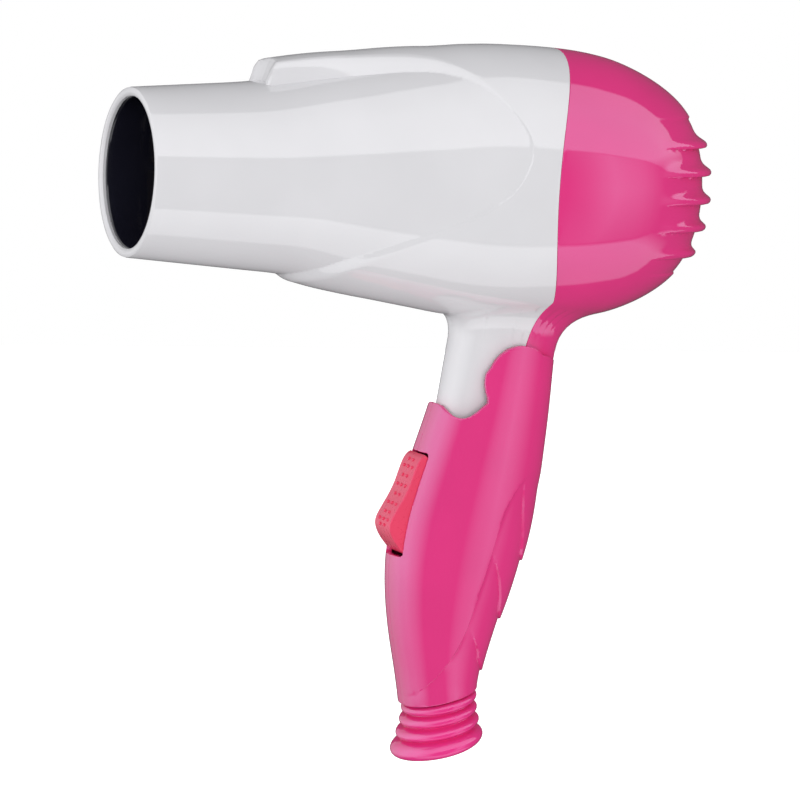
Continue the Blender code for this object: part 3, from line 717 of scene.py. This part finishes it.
def side_view(points):
    return points[:, [0, 2]]


def housing_skin():
    bm = roll_barrel()
    drop_faces(bm, slot_field)
    grow_neck(bm)
    outline = knuckle_outline()
    pivot = np.array((PIVOT.x, PIVOT.z))
    limit = lambda points: outline_depth(side_view(points), outline)
    hole = lambda points: np.hypot(*(side_view(points) - pivot).T) - AXLE_RADIUS - GAP
    for shape in (limit, hole):
        field = lambda points: np.where(points[:, 2] < NECK_TOP_Z, shape(points), 1.0)
        cut_along(bm, field)
        drop_faces(bm, field)
    return bm


def rim_profile(place):
    """The nozzle's rounded rim; every other open edge is a small rounded lip."""
    if place.x < MOUTH_START + 0.6:
        return [(0.75, 0.12), (1.12, 0.55), (MOUTH_START, 1.2), (1.1, 1.95), (0.6, 2.45),
                (-3.0, 2.6)]
    return round_profile(SEAM_LIP, WALL, 5)


def make_housings(finishes):
    skin = housing_skin()
    mesh = bpy.data.meshes.new("skin")
    skin.to_mesh(mesh)
    skin.free()
    back_off = SEAM_GAP / 2 + SEAM_LIP
    for name, side, (material, slot) in (("front_housing", -1, finishes[0]),
                                         ("rear_housing", 1, finishes[1])):
        bm = bmesh.new()
        bm.from_mesh(mesh)
        field = lambda points: side * (points[:, 0] - seam_x(points[:, 2])) - back_off
        cut_along(bm, field)
        drop_faces(bm, field)
        thicken(bm, WALL, rim_profile)
        add_piece(name + "_shell", bm, "body", material, (name,))


# ---- handle -------------------------------------------------------------------------
def handle_curves():
    rows = np.array(HANDLE, float)[::-1]
    levels = np.arange(rows[0, 0], rows[-1, 0] + 0.1, 0.5)
    return levels, [faired(monotone(rows[:, 0], rows[:, i], levels), 9) for i in (1, 2, 3)]


HANDLE_LEVELS, HANDLE_CURVES = handle_curves()


def handle_outline():
    """Side view of a handle half: its notch, ear and sloping end."""
    pivot = (PIVOT.x, PIVOT.z)
    lobe = arc(pivot, EAR_LOBE, 206, 168, 9)
    ear = arc(pivot, EAR_RADIUS, 158, 48, 30)
    shoulder = curved([tuple(ear[-1]), (128.4, -48.6), (131.2, -49.7), (134.0, -50.2)], 5)
    rise = math.tan(END_TILT)
    end = [(140, HANDLE_END[1] + rise * (140 - HANDLE_END[0])),
           (70, HANDLE_END[1] - rise * (HANDLE_END[0] - 70))]
    return np.vstack([curved(NOTCH, 4), lobe, ear, shoulder[1:], [(140, -50.2)], end])


def grip_push(points):
    """Travel of the handle's surface: the rear panel lies low, in overlapping scales."""
    flat = side_view(points)
    rear = distance_to(flat, GRIP_CURVE)
    z = flat[:, 1]
    fade = smooth_step((-81.5 - z) / 7) * smooth_step((z + 149) / 5)
    push = -GRIP_DROP * np.clip(rear / 0.3, 0, 1) * fade
    for line in GRIP_LINES:
        below = -distance_to(flat, line)
        top = line[0][1]
        grown = smooth_step((top - z) / 9)
        fall = np.clip(1 - below / 15.0, 0, 1) ** 1.5
        step = np.where(below > 0, np.clip(below / 0.3, 0, 1) * fall, 0)
        push -= GRIP_STEP * step * grown * smooth_step(rear / 1.2)
    return push


GRIP_CURVE = curved(GRIP_LINE, 5)
GRIP_LINES = [curved(line, 5) for line in GRIP_STEPS]


def handle_sheet(side):
    bm = bmesh.new()
    base = bm.verts.layers.float_vector.new("base")
    levels = np.arange(-44.0, -157.0, -0.95)
    middles, depths, widths = [np.interp(levels, HANDLE_LEVELS, c) for c in HANDLE_CURVES]
    angles = np.linspace(0, math.pi, 111)
    grid = []
    for z, middle, depth, width in zip(levels, middles, depths, widths):
        row = []
        for angle in angles:
            c, s = math.cos(angle), math.sin(angle)
            x = middle - depth * math.copysign(abs(c) ** (2 / OVAL_POWER), c)
            y = side * width * max(s, 0.0) ** (2 / OVAL_POWER)
            row.append(bm.verts.new((x, y, z)))
        grid.append(row)
    for row, following in zip(grid, grid[1:]):
        for i in range(len(angles) - 1):
            bm.faces.new((row[i], row[i + 1], following[i + 1], following[i]))
    for vertex in bm.verts:
        vertex[base] = vertex.co
    face_out(bm, Vector((0, side, 0)))
    return bm


def make_handle_half(name, side, finish):
    material, slot = finish
    bm = handle_sheet(side)
    parting = lambda points: side * points[:, 1] - PARTING_GAP / 2 - PARTING_LIP
    outline = handle_outline()
    limit = lambda points: outline_depth(side_view(points), outline) - EAR_LIP
    opening = lambda points: np.where(
        points[:, 0] < 104,
        rounded_box(points[:, 1], points[:, 2] - SLOT_CENTRE_Z, SLOT_HALF_WIDTH + SLOT_LIP,
                    SLOT_HALF_HEIGHT + SLOT_LIP, 1.3), 1.0)
    fields = [parting, limit, opening]
    if side > 0:
        for x, z in SCREW_PLACES:
            fields.append(lambda points, x=x, z=z: np.where(
                points[:, 1] > 0, np.hypot(points[:, 0] - x, points[:, 2] - z)
                - SCREW_WELL - 0.4, 1.0))
    for field in fields:
        cut_along(bm, field)
        drop_faces(bm, field)
    rear = lambda points: distance_to(side_view(points), GRIP_CURVE)
    cut_along(bm, rear)
    cut_along(bm, lambda points: rear(points) - 0.3)
    for line in GRIP_LINES:
        for offset in (0.0, 0.3):
            cut_along(bm, lambda points, line=line, offset=offset: np.where(
                rear(points) > 0.05, -distance_to(side_view(points), line) - offset, 1.0))
    bm.normal_update()
    points = coordinates(bm)
    for vertex, push in zip(list(bm.verts), grip_push(points)):
        vertex.co = vertex.co + vertex.normal * float(push)

    def profile(place):
        if abs(place.y) < 0.6:
            return round_profile(PARTING_LIP, HANDLE_WALL, 3)
        in_slot = place.x < 100 and abs(place.z - SLOT_CENTRE_Z) < SLOT_HALF_HEIGHT + 1
        return round_profile(SLOT_LIP if in_slot else EAR_LIP, HANDLE_WALL + 0.2, 3)

    thicken(bm, HANDLE_WALL, profile)
    return add_piece(name, bm, "handle", material,
                     ("handle_near_shell" if side < 0 else "handle_far_shell",))


def make_screw_wells(material, slot):
    """The cups in the far half that the screws' heads sit in."""
    for number, (x, z) in enumerate(SCREW_PLACES):
        bm = turned(((0, 1.5), (0, 3.7), (5.4, 3.7), (5.4, 3.35), (4.9, 3.05), (0.7, 3.0),
                     (0.7, 1.5)), 40)
        bmesh.ops.transform(bm, verts=bm.verts, matrix=Matrix.Translation((x, 5.9, z))
                            @ Matrix.Rotation(math.pi / 2, 4, "Z"))
        add_piece("screw_well_%d" % (number + 1), bm, "handle", material)


# ---- boot ---------------------------------------------------------------------------
def rib(low, radius, root, half):
    """A round rib of the boot, as (distance below the end, radius) points."""
    points = []
    for i in range(9):
        t = -1 + 2 * i / 8
        points.append((low + half * t, root + (radius - root) * math.sqrt(max(0.0, 1 - t * t))))
    return points


def make_boot(material, slot):
    profile = [(-4.0, BOOT_BORE), (-4.0, 7.2), (0.1, 7.3), (0.3, 8.6)]
    for low, radius in BOOT_RIBS:
        profile += rib(low, radius, radius - 2.2, 1.62)
    low, radius = BOOT_FLANGE
    profile += [(low - 2.6, radius - 2.7), (low - 2.2, radius - 1.5), (low - 1.6, radius - 0.7),
                (low - 0.8, radius - 0.15), (low, radius), (low + 0.8, radius - 0.2),
                (low + 1.5, radius - 0.8), (low + 2.0, radius - 1.6), (low + 2.35, radius - 2.8),
                (BOOT_LENGTH, radius - 4.4), (BOOT_LENGTH, BOOT_BORE + 0.8),
                (BOOT_LENGTH - 0.6, BOOT_BORE)]
    bm = turned(profile, 128)
    slant = Matrix(((0, 0, math.cos(END_TILT), HANDLE_END[0]), (0, 1, 0, 0),
                    (-1, 0, math.sin(END_TILT), HANDLE_END[1]), (0, 0, 0, 1)))
    bmesh.ops.transform(bm, verts=bm.verts, matrix=slant)
    bmesh.ops.recalc_face_normals(bm, faces=bm.faces)
    piece = add_piece("cord_boot_moulding", bm, "handle", material, ("cord_boot",), 50)
    smooth = piece.modifiers.new("Smooth surface", "SUBSURF")
    smooth.levels = smooth.render_levels = 1
    return piece


# ---- rocker switch ------------------------------------------------------------------
def make_rocker(material, slot):
    face = curved(ROCKER_FACE, 5)
    axis = (ROCK_AXIS.x, ROCK_AXIS.z)
    foot = [(93.0, -106.3)]
    hub = arc(axis, 2.3, -60, 60, 8)
    outline = np.vstack([face, foot, hub, [(axis[0] - 0.9, axis[1] + 13.6)]])
    bm = bmesh.new()
    near = [bm.verts.new((x, -ROCKER_HALF_WIDTH, z)) for x, z in outline]
    far = [bm.verts.new((x, ROCKER_HALF_WIDTH, z)) for x, z in outline]
    bm.faces.new(near)
    bm.faces.new(far[::-1])
    for i in range(len(near)):
        j = (i + 1) % len(near)
        bm.faces.new((near[i], far[i], far[j], near[j]))
    bmesh.ops.recalc_face_normals(bm, faces=bm.faces)
    rims = [e for e in bm.edges if abs(e.verts[0].co.y - e.verts[1].co.y) < 0.1]
    bmesh.ops.bevel(bm, geom=rims, offset=0.8, segments=4, profile=0.5, affect="EDGES",
                    clamp_overlap=True)
    dots = []
    path = face[8:44:4]
    for number, (x, z) in enumerate(path):
        across = (-2.7, 0.0, 2.7) if number % 2 else (-1.35, 1.35)
        for y in across:
            dot = bmesh.new()
            bmesh.ops.create_icosphere(dot, subdivisions=3, radius=0.52)
            bmesh.ops.transform(dot, verts=dot.verts, matrix=Matrix.Translation((x, y, z)))
            dots.append(dot)
    return add_piece("rocker_cap_moulding", merged(bm, *dots), "rocker", material,
                     ("rocker_cap",), 50)


# ---- outlet liner -------------------------------------------------------------------
def make_liner(material, slot):
    """The dark sleeve inside the nozzle, with the outlet grille at its inner end."""
    profile = [(1.6, 21.05), (1.9, 21.3), (18.5, 22.25), (18.5, 21.4), (2.2, 20.45),
               (1.8, 20.6), (1.6, 20.8)]
    parts = [turned(profile, 144)]
    for outer in (11.4, 5.2):
        parts.append(turned([(15.2, outer - 0.5), (15.2, outer + 0.5), (17.6, outer + 0.5),
                             (17.6, outer - 0.5)], 96))
    for number in range(6):
        spoke = bmesh.new()
        bmesh.ops.create_cube(spoke, size=1.0)
        bmesh.ops.transform(spoke, verts=spoke.verts, matrix=(
            Matrix.Rotation(math.pi * (number + 0.5) / 3, 4, "X")
            @ Matrix.Translation((16.4, 0, 13.3)) @ Matrix.Diagonal((2.0, 1.0, 16.4, 1))))
        parts.append(spoke)
    return add_piece("outlet_liner", merged(*parts), "body", material, ("outlet_grille",))


# ---- materials ----------------------------------------------------------------------
def new_node(tree, kind, **values):
    """A shader node whose inputs hold these values."""
    node = tree.nodes.new("ShaderNode" + kind)
    for name, value in values.items():
        node.inputs[name.replace("_", " ")].default_value = value
    return node


def new_material(name):
    material = bpy.data.materials.new(name)
    material.use_nodes = True
    return material, material.node_tree, material.node_tree.nodes["Principled BSDF"]


def pattern(tree, kind, stretch=None, **values):
    """A texture over the piece's own coordinates, whose units are metres."""
    place = tree.nodes.new("ShaderNodeTexCoord").outputs["Object"]
    if stretch:
        mapping = new_node(tree, "Mapping", Scale=stretch)
        tree.links.new(place, mapping.inputs["Vector"])
        place = mapping.outputs["Vector"]
    texture = new_node(tree, "Tex" + kind, **values)
    tree.links.new(place, texture.inputs["Vector"])
    return texture.outputs["Distance" if kind == "Voronoi" else "Fac"]


def spread(tree, source, low, high):
    """Maps a pattern's middle range to values from low to high."""
    scale = new_node(tree, "MapRange", From_Min=0.3, From_Max=0.7, To_Min=low, To_Max=high)
    tree.links.new(source, scale.inputs["Value"])
    return scale.outputs["Result"]


def tinted(tree, source, low, high):
    mix = tree.nodes.new("ShaderNodeMix")
    mix.data_type = "RGBA"
    mix.inputs["A"].default_value = (*low, 1)
    mix.inputs["B"].default_value = (*high, 1)
    tree.links.new(source, mix.inputs["Factor"])
    return mix.outputs["Result"]


def bumped(tree, source, strength, distance, under=None):
    bump = new_node(tree, "Bump", Strength=strength, Distance=distance)
    tree.links.new(source, bump.inputs["Height"])
    if under:
        tree.links.new(under, bump.inputs["Normal"])
    return bump.outputs["Normal"]


def dress(tree, shader, colour, roughness, normal):
    for name, source in (("Base Color", colour), ("Roughness", roughness), ("Normal", normal)):
        tree.links.new(source, shader.inputs[name])


def shaded(colour, factor):
    return tuple(channel * factor for channel in colour)


def plastic(name, colour, roughness, wave=0.012, grain=0.02, vary=0.02, gloss=0.5,
            tint=(1, 1, 1)):
    """Moulded plastic: a faint flow in its colour, uneven gloss and a slight sink."""
    material, tree, shader = new_material(name)
    shader.inputs["Specular IOR Level"].default_value = gloss
    shader.inputs["Specular Tint"].default_value = (*tint, 1)
    flow = pattern(tree, "Noise", Scale=45, Detail=2)
    fine = pattern(tree, "Noise", Scale=900, Detail=4)
    dress(tree, shader,
          tinted(tree, spread(tree, flow, 0, 1), shaded(colour, 1 - vary),
                 shaded(colour, 1 + vary)),
          spread(tree, fine, roughness * 0.8, roughness * 1.25),
          bumped(tree, fine, grain, 0.0001, bumped(tree, flow, wave, 0.004)))
    return material


def metal(name, colour, roughness):
    """Drawn metal with fine scratches across it."""
    material, tree, shader = new_material(name)
    shader.inputs["Metallic"].default_value = 1.0
    scratches = pattern(tree, "Noise", (1, 12, 12), Scale=300, Detail=5)
    dress(tree, shader,
          tinted(tree, spread(tree, scratches, 0, 1), shaded(colour, 0.88), colour),
          spread(tree, scratches, roughness * 0.7, roughness * 1.4),
          bumped(tree, scratches, 0.08, 0.0001))
    return material


def mica(name):
    """Pressed mica: flaky, mottled, with a dull silky gloss."""
    material, tree, shader = new_material(name)
    flakes = pattern(tree, "Voronoi", Scale=420)
    dress(tree, shader,
          tinted(tree, flakes, (0.66, 0.56, 0.40), (0.42, 0.33, 0.20)),
          spread(tree, flakes, 0.35, 0.6),
          bumped(tree, flakes, 0.2, 0.0001))
    return material


INNER_FINISHES = (
    ("mica", "mica"), ("heater_coil", "heater_wire"), ("thermostat", "steel"),
    ("thermal_fuse", "ceramic"), ("motor", "steel"), ("rectifier_board", "board"),
    ("screw", "steel"), ("axle", "steel"), ("pin", "steel"), ("terminal", "brass"),
    ("live", "red_lead"), ("neutral", "blue_lead"),
)


def finish_for(name):
    """The finish of a carried-over CAD node; the rest are black mouldings."""
    return next((kind for word, kind in INNER_FINISHES if word in name), "black_moulding")


# ---- camera, light and floor --------------------------------------------------------
TARGET = Vector((-0.0198, -0.0389, 0.0064))
CAMERA_DISTANCE = 1.015
CAMERA_AZIMUTH = math.radians(-24.5)
CAMERA_ELEVATION = math.radians(7)
CAMERA_ROLL = math.radians(3.4)
CAMERA_LENS = 167.17


def make_camera():
    data = bpy.data.cameras.new("camera")
    data.lens = CAMERA_LENS
    data.clip_start, data.clip_end = 0.05, 50
    camera = bpy.data.objects.new("camera", data)
    bpy.context.scene.collection.objects.link(camera)
    back = Vector((math.sin(CAMERA_AZIMUTH) * math.cos(CAMERA_ELEVATION),
                   -math.cos(CAMERA_AZIMUTH) * math.cos(CAMERA_ELEVATION),
                   math.sin(CAMERA_ELEVATION)))
    level = Vector((math.cos(CAMERA_AZIMUTH), math.sin(CAMERA_AZIMUTH), 0))
    upright = back.cross(level)
    right = math.cos(CAMERA_ROLL) * level + math.sin(CAMERA_ROLL) * upright
    up = math.cos(CAMERA_ROLL) * upright - math.sin(CAMERA_ROLL) * level
    turn = Matrix((right, up, back)).transposed().to_4x4()
    camera.matrix_world = Matrix.Translation(TARGET + back * CAMERA_DISTANCE) @ turn
    bpy.context.scene.camera = camera


def make_panel(name, centre, across, up, width, height, radiance):
    """A soft light that shades the surfaces; the world makes the reflections."""
    data = bpy.data.lights.new(name, "AREA")
    data.shape = "RECTANGLE"
    data.size, data.size_y = width, height
    data.energy = radiance * math.pi * width * height
    panel = bpy.data.objects.new(name, data)
    bpy.context.scene.collection.objects.link(panel)
    across, up = Vector(across).normalized(), Vector(up).normalized()
    back = across.cross(up)
    if back.dot(Vector(centre)) < 0:
        across, back = -across, -back
    turn = Matrix((across, up, back)).transposed().to_4x4()
    panel.matrix_world = Matrix.Translation(centre) @ turn
    panel.visible_camera = False
    panel.visible_glossy = False
    return panel


def make_lights():
    make_panel("key", (-0.4, -1.4, 0.1), (1, -0.29, 0), (0, 0.07, 1), 1.3, 1.3, KEY_RADIANCE)


class Chain:
    """Builds value nodes for the world's studio, seen by reflections only."""

    def __init__(self, tree):
        self.tree = tree

    def math(self, operation, *values):
        node = self.tree.nodes.new("ShaderNodeMath")
        node.operation = operation
        for socket, value in zip(node.inputs, values):
            if isinstance(value, (int, float)):
                socket.default_value = value
            else:
                self.tree.links.new(value, socket)
        return node.outputs[0]

    def curve(self, value, stops):
        """Straight lines through (value, result) stops, flat beyond the ends."""
        result = stops[0][1]
        for (low, start), (high, end) in zip(stops, stops[1:]):
            step = new_node(self.tree, "MapRange", From_Min=low, From_Max=high, To_Min=0.0,
                            To_Max=end - start)
            self.tree.links.new(value, step.inputs["Value"])
            result = self.math("ADD", result, step.outputs["Result"])
        return result


# The studio as glossy surfaces see it. Angles are in degrees: the turn about X from
# straight ahead of the near side upwards, and the azimuth from -Y towards +X.
UPPER_BAND = ((25.0, 0.0), (27.0, 2.6), (60.0, 2.5), (86.0, 1.9), (89.0, 0.0))
LOWER_BAND = ((-86.0, 0.0), (-83.0, 1.4), (-45.0, 2.2), (-42.0, 0.0))
MIDDLE_FADE = ((-43.0, 0.0), (-41.0, 0.4), (0.0, 1.0), (25.0, 0.92), (27.0, 0.0))
FRONT_STRIP = ((15.0, 0.0), (20.0, 0.7), (25.0, 1.3), (32.0, 1.9), (42.0, 1.3), (54.0, 0.5),
               (64.0, 0.0))
LEFT_WALL = ((-170.0, 0.8), (-140.0, 2.2), (-115.0, 3.5), (-78.0, 3.5), (-52.0, 2.0),
             (-30.0, 0.0))
LEFT_WALL_FADE = ((-50.0, 0.0), (-8.0, 1.0), (40.0, 1.0), (70.0, 0.3))
UPPER_FADE = ((10.0, 0.0), (19.0, 1.0))     # both bands end before they reach the sides
LOWER_FADE = ((-34.0, 1.0), (-24.0, 0.0))
STUDIO_FLOOR = 0.1
KEY_RADIANCE = 1.52
AMBIENT = 0.76


def studio_radiance(tree):
    chain = Chain(tree)
    where = tree.nodes.new("ShaderNodeTexCoord")
    axes = tree.nodes.new("ShaderNodeSeparateXYZ")
    tree.links.new(where.outputs["Generated"], axes.inputs[0])
    x, y, z = axes.outputs
    ahead = chain.math("MULTIPLY", y, -1.0)
    degrees = lambda value: chain.math("MULTIPLY", value, 180 / math.pi)
    turn = degrees(chain.math("ARCTAN2", z, ahead))
    azimuth = degrees(chain.math("ARCTAN2", x, ahead))
    elevation = degrees(chain.math("ARCSINE", z))
    strip = chain.math("MULTIPLY", chain.curve(azimuth, FRONT_STRIP),
                       chain.curve(turn, MIDDLE_FADE))
    wall = chain.math("MULTIPLY", chain.curve(azimuth, LEFT_WALL),
                      chain.curve(elevation, LEFT_WALL_FADE))
    total = chain.math("ADD", strip, STUDIO_FLOOR)
    upper = chain.math("MULTIPLY", chain.curve(turn, UPPER_BAND),
                       chain.curve(elevation, UPPER_FADE))
    lower = chain.math("MULTIPLY", chain.curve(turn, LOWER_BAND),
                       chain.curve(elevation, LOWER_FADE))
    for part in (upper, lower, wall):
        total = chain.math("MAXIMUM", total, part)
    return total


def make_world():
    world = bpy.data.worlds.new("studio")
    bpy.context.scene.world = world
    world.use_nodes = True
    tree = world.node_tree
    tree.nodes.clear()
    path = tree.nodes.new("ShaderNodeLightPath")
    seen = new_node(tree, "Background", Color=(1, 1, 1, 1))
    soft = new_node(tree, "Background", Color=(0.99, 0.99, 1.0, 1), Strength=AMBIENT)
    mirrored = new_node(tree, "Background", Color=(0.98, 0.98, 1.0, 1))
    tree.links.new(studio_radiance(tree), mirrored.inputs["Strength"])
    shader = soft
    for ray, other in (("Is Glossy Ray", mirrored), ("Is Camera Ray", seen)):
        mix = tree.nodes.new("ShaderNodeMixShader")
        for source, socket in zip((path.outputs[ray], shader.outputs[0], other.outputs[0]),
                                  mix.inputs):
            tree.links.new(source, socket)
        shader = mix
    out = tree.nodes.new("ShaderNodeOutputWorld")
    tree.links.new(shader.outputs[0], out.inputs[0])
    bpy.context.scene.view_settings.view_transform = "Standard"


def make_floor():
    """A pale floor well below the dryer, which hangs in mid air."""
    bm = bmesh.new()
    bmesh.ops.create_grid(bm, x_segments=1, y_segments=1, size=6.0)
    mesh = bpy.data.meshes.new("floor")
    bm.to_mesh(mesh)
    bm.free()
    floor = bpy.data.objects.new("floor", mesh)
    floor.location.z = CAD_BOX[0][2] - 0.6
    material, _, shader = new_material("floor_white")
    shader.inputs["Base Color"].default_value = (0.9, 0.9, 0.9, 1)
    shader.inputs["Roughness"].default_value = 1.0
    shader.inputs["Emission Color"].default_value = (1, 1, 1, 1)
    shader.inputs["Emission Strength"].default_value = 0.7
    mesh.materials.append(material)
    bpy.context.scene.collection.objects.link(floor)
    floor.visible_diffuse = False
    floor.visible_glossy = False


# ---- the whole dryer ----------------------------------------------------------------
make_camera()

PINK_SHEEN = (0.45, 0.72, 1.0)   # what the pink's lacquer does to white light
FINISHES = {
    "white_shell": plastic("white_gloss", (0.72, 0.715, 0.735), 0.04),
    "pink_shell": plastic("pink_gloss", (0.765, 0.043, 0.225), 0.04, vary=0.03, gloss=0.7,
                          tint=PINK_SHEEN),
    "pink_boot": plastic("pink_boot", (0.84, 0.038, 0.25), 0.12, wave=0.03, vary=0.04,
                         gloss=0.7, tint=PINK_SHEEN),
    "coral_rocker": plastic("coral_gloss", (0.80, 0.06, 0.13), 0.3, wave=0.03, vary=0.04,
                            gloss=0.4, tint=(1.0, 0.5, 0.9)),
    "black_moulding": plastic("black_moulding", (0.010, 0.010, 0.018), 0.12, vary=0.1),
    "ceramic": plastic("ceramic", (0.8, 0.77, 0.68), 0.35, grain=0.1),
    "board": plastic("circuit_board", (0.03, 0.16, 0.06), 0.35, grain=0.2, vary=0.15),
    "red_lead": plastic("red_lead", (0.55, 0.03, 0.02), 0.4, grain=0.1),
    "blue_lead": plastic("blue_lead", (0.03, 0.08, 0.45), 0.4, grain=0.1),
    "mica": mica("mica"),
    "heater_wire": metal("heater_wire", (0.45, 0.41, 0.39), 0.4),
    "steel": metal("steel", (0.66, 0.66, 0.68), 0.25),
    "brass": metal("brass", (0.80, 0.58, 0.24), 0.28),
}


def finish(slot):
    return FINISHES[slot], slot


make_housings((finish("white_shell"), finish("pink_shell")))
make_handle_half("handle_near_half", -1, finish("pink_shell"))
make_handle_half("handle_far_half", 1, finish("pink_shell"))
make_screw_wells(*finish("pink_shell"))
make_boot(*finish("pink_boot"))
make_rocker(*finish("coral_rocker"))
make_liner(*finish("black_moulding"))
for cad_name, cad_node in frame["nodes"].items():
    cad_node.data.materials.clear()
    cad_node.data.materials.append(FINISHES[finish_for(cad_name)])

make_lights()
make_world()
make_floor()
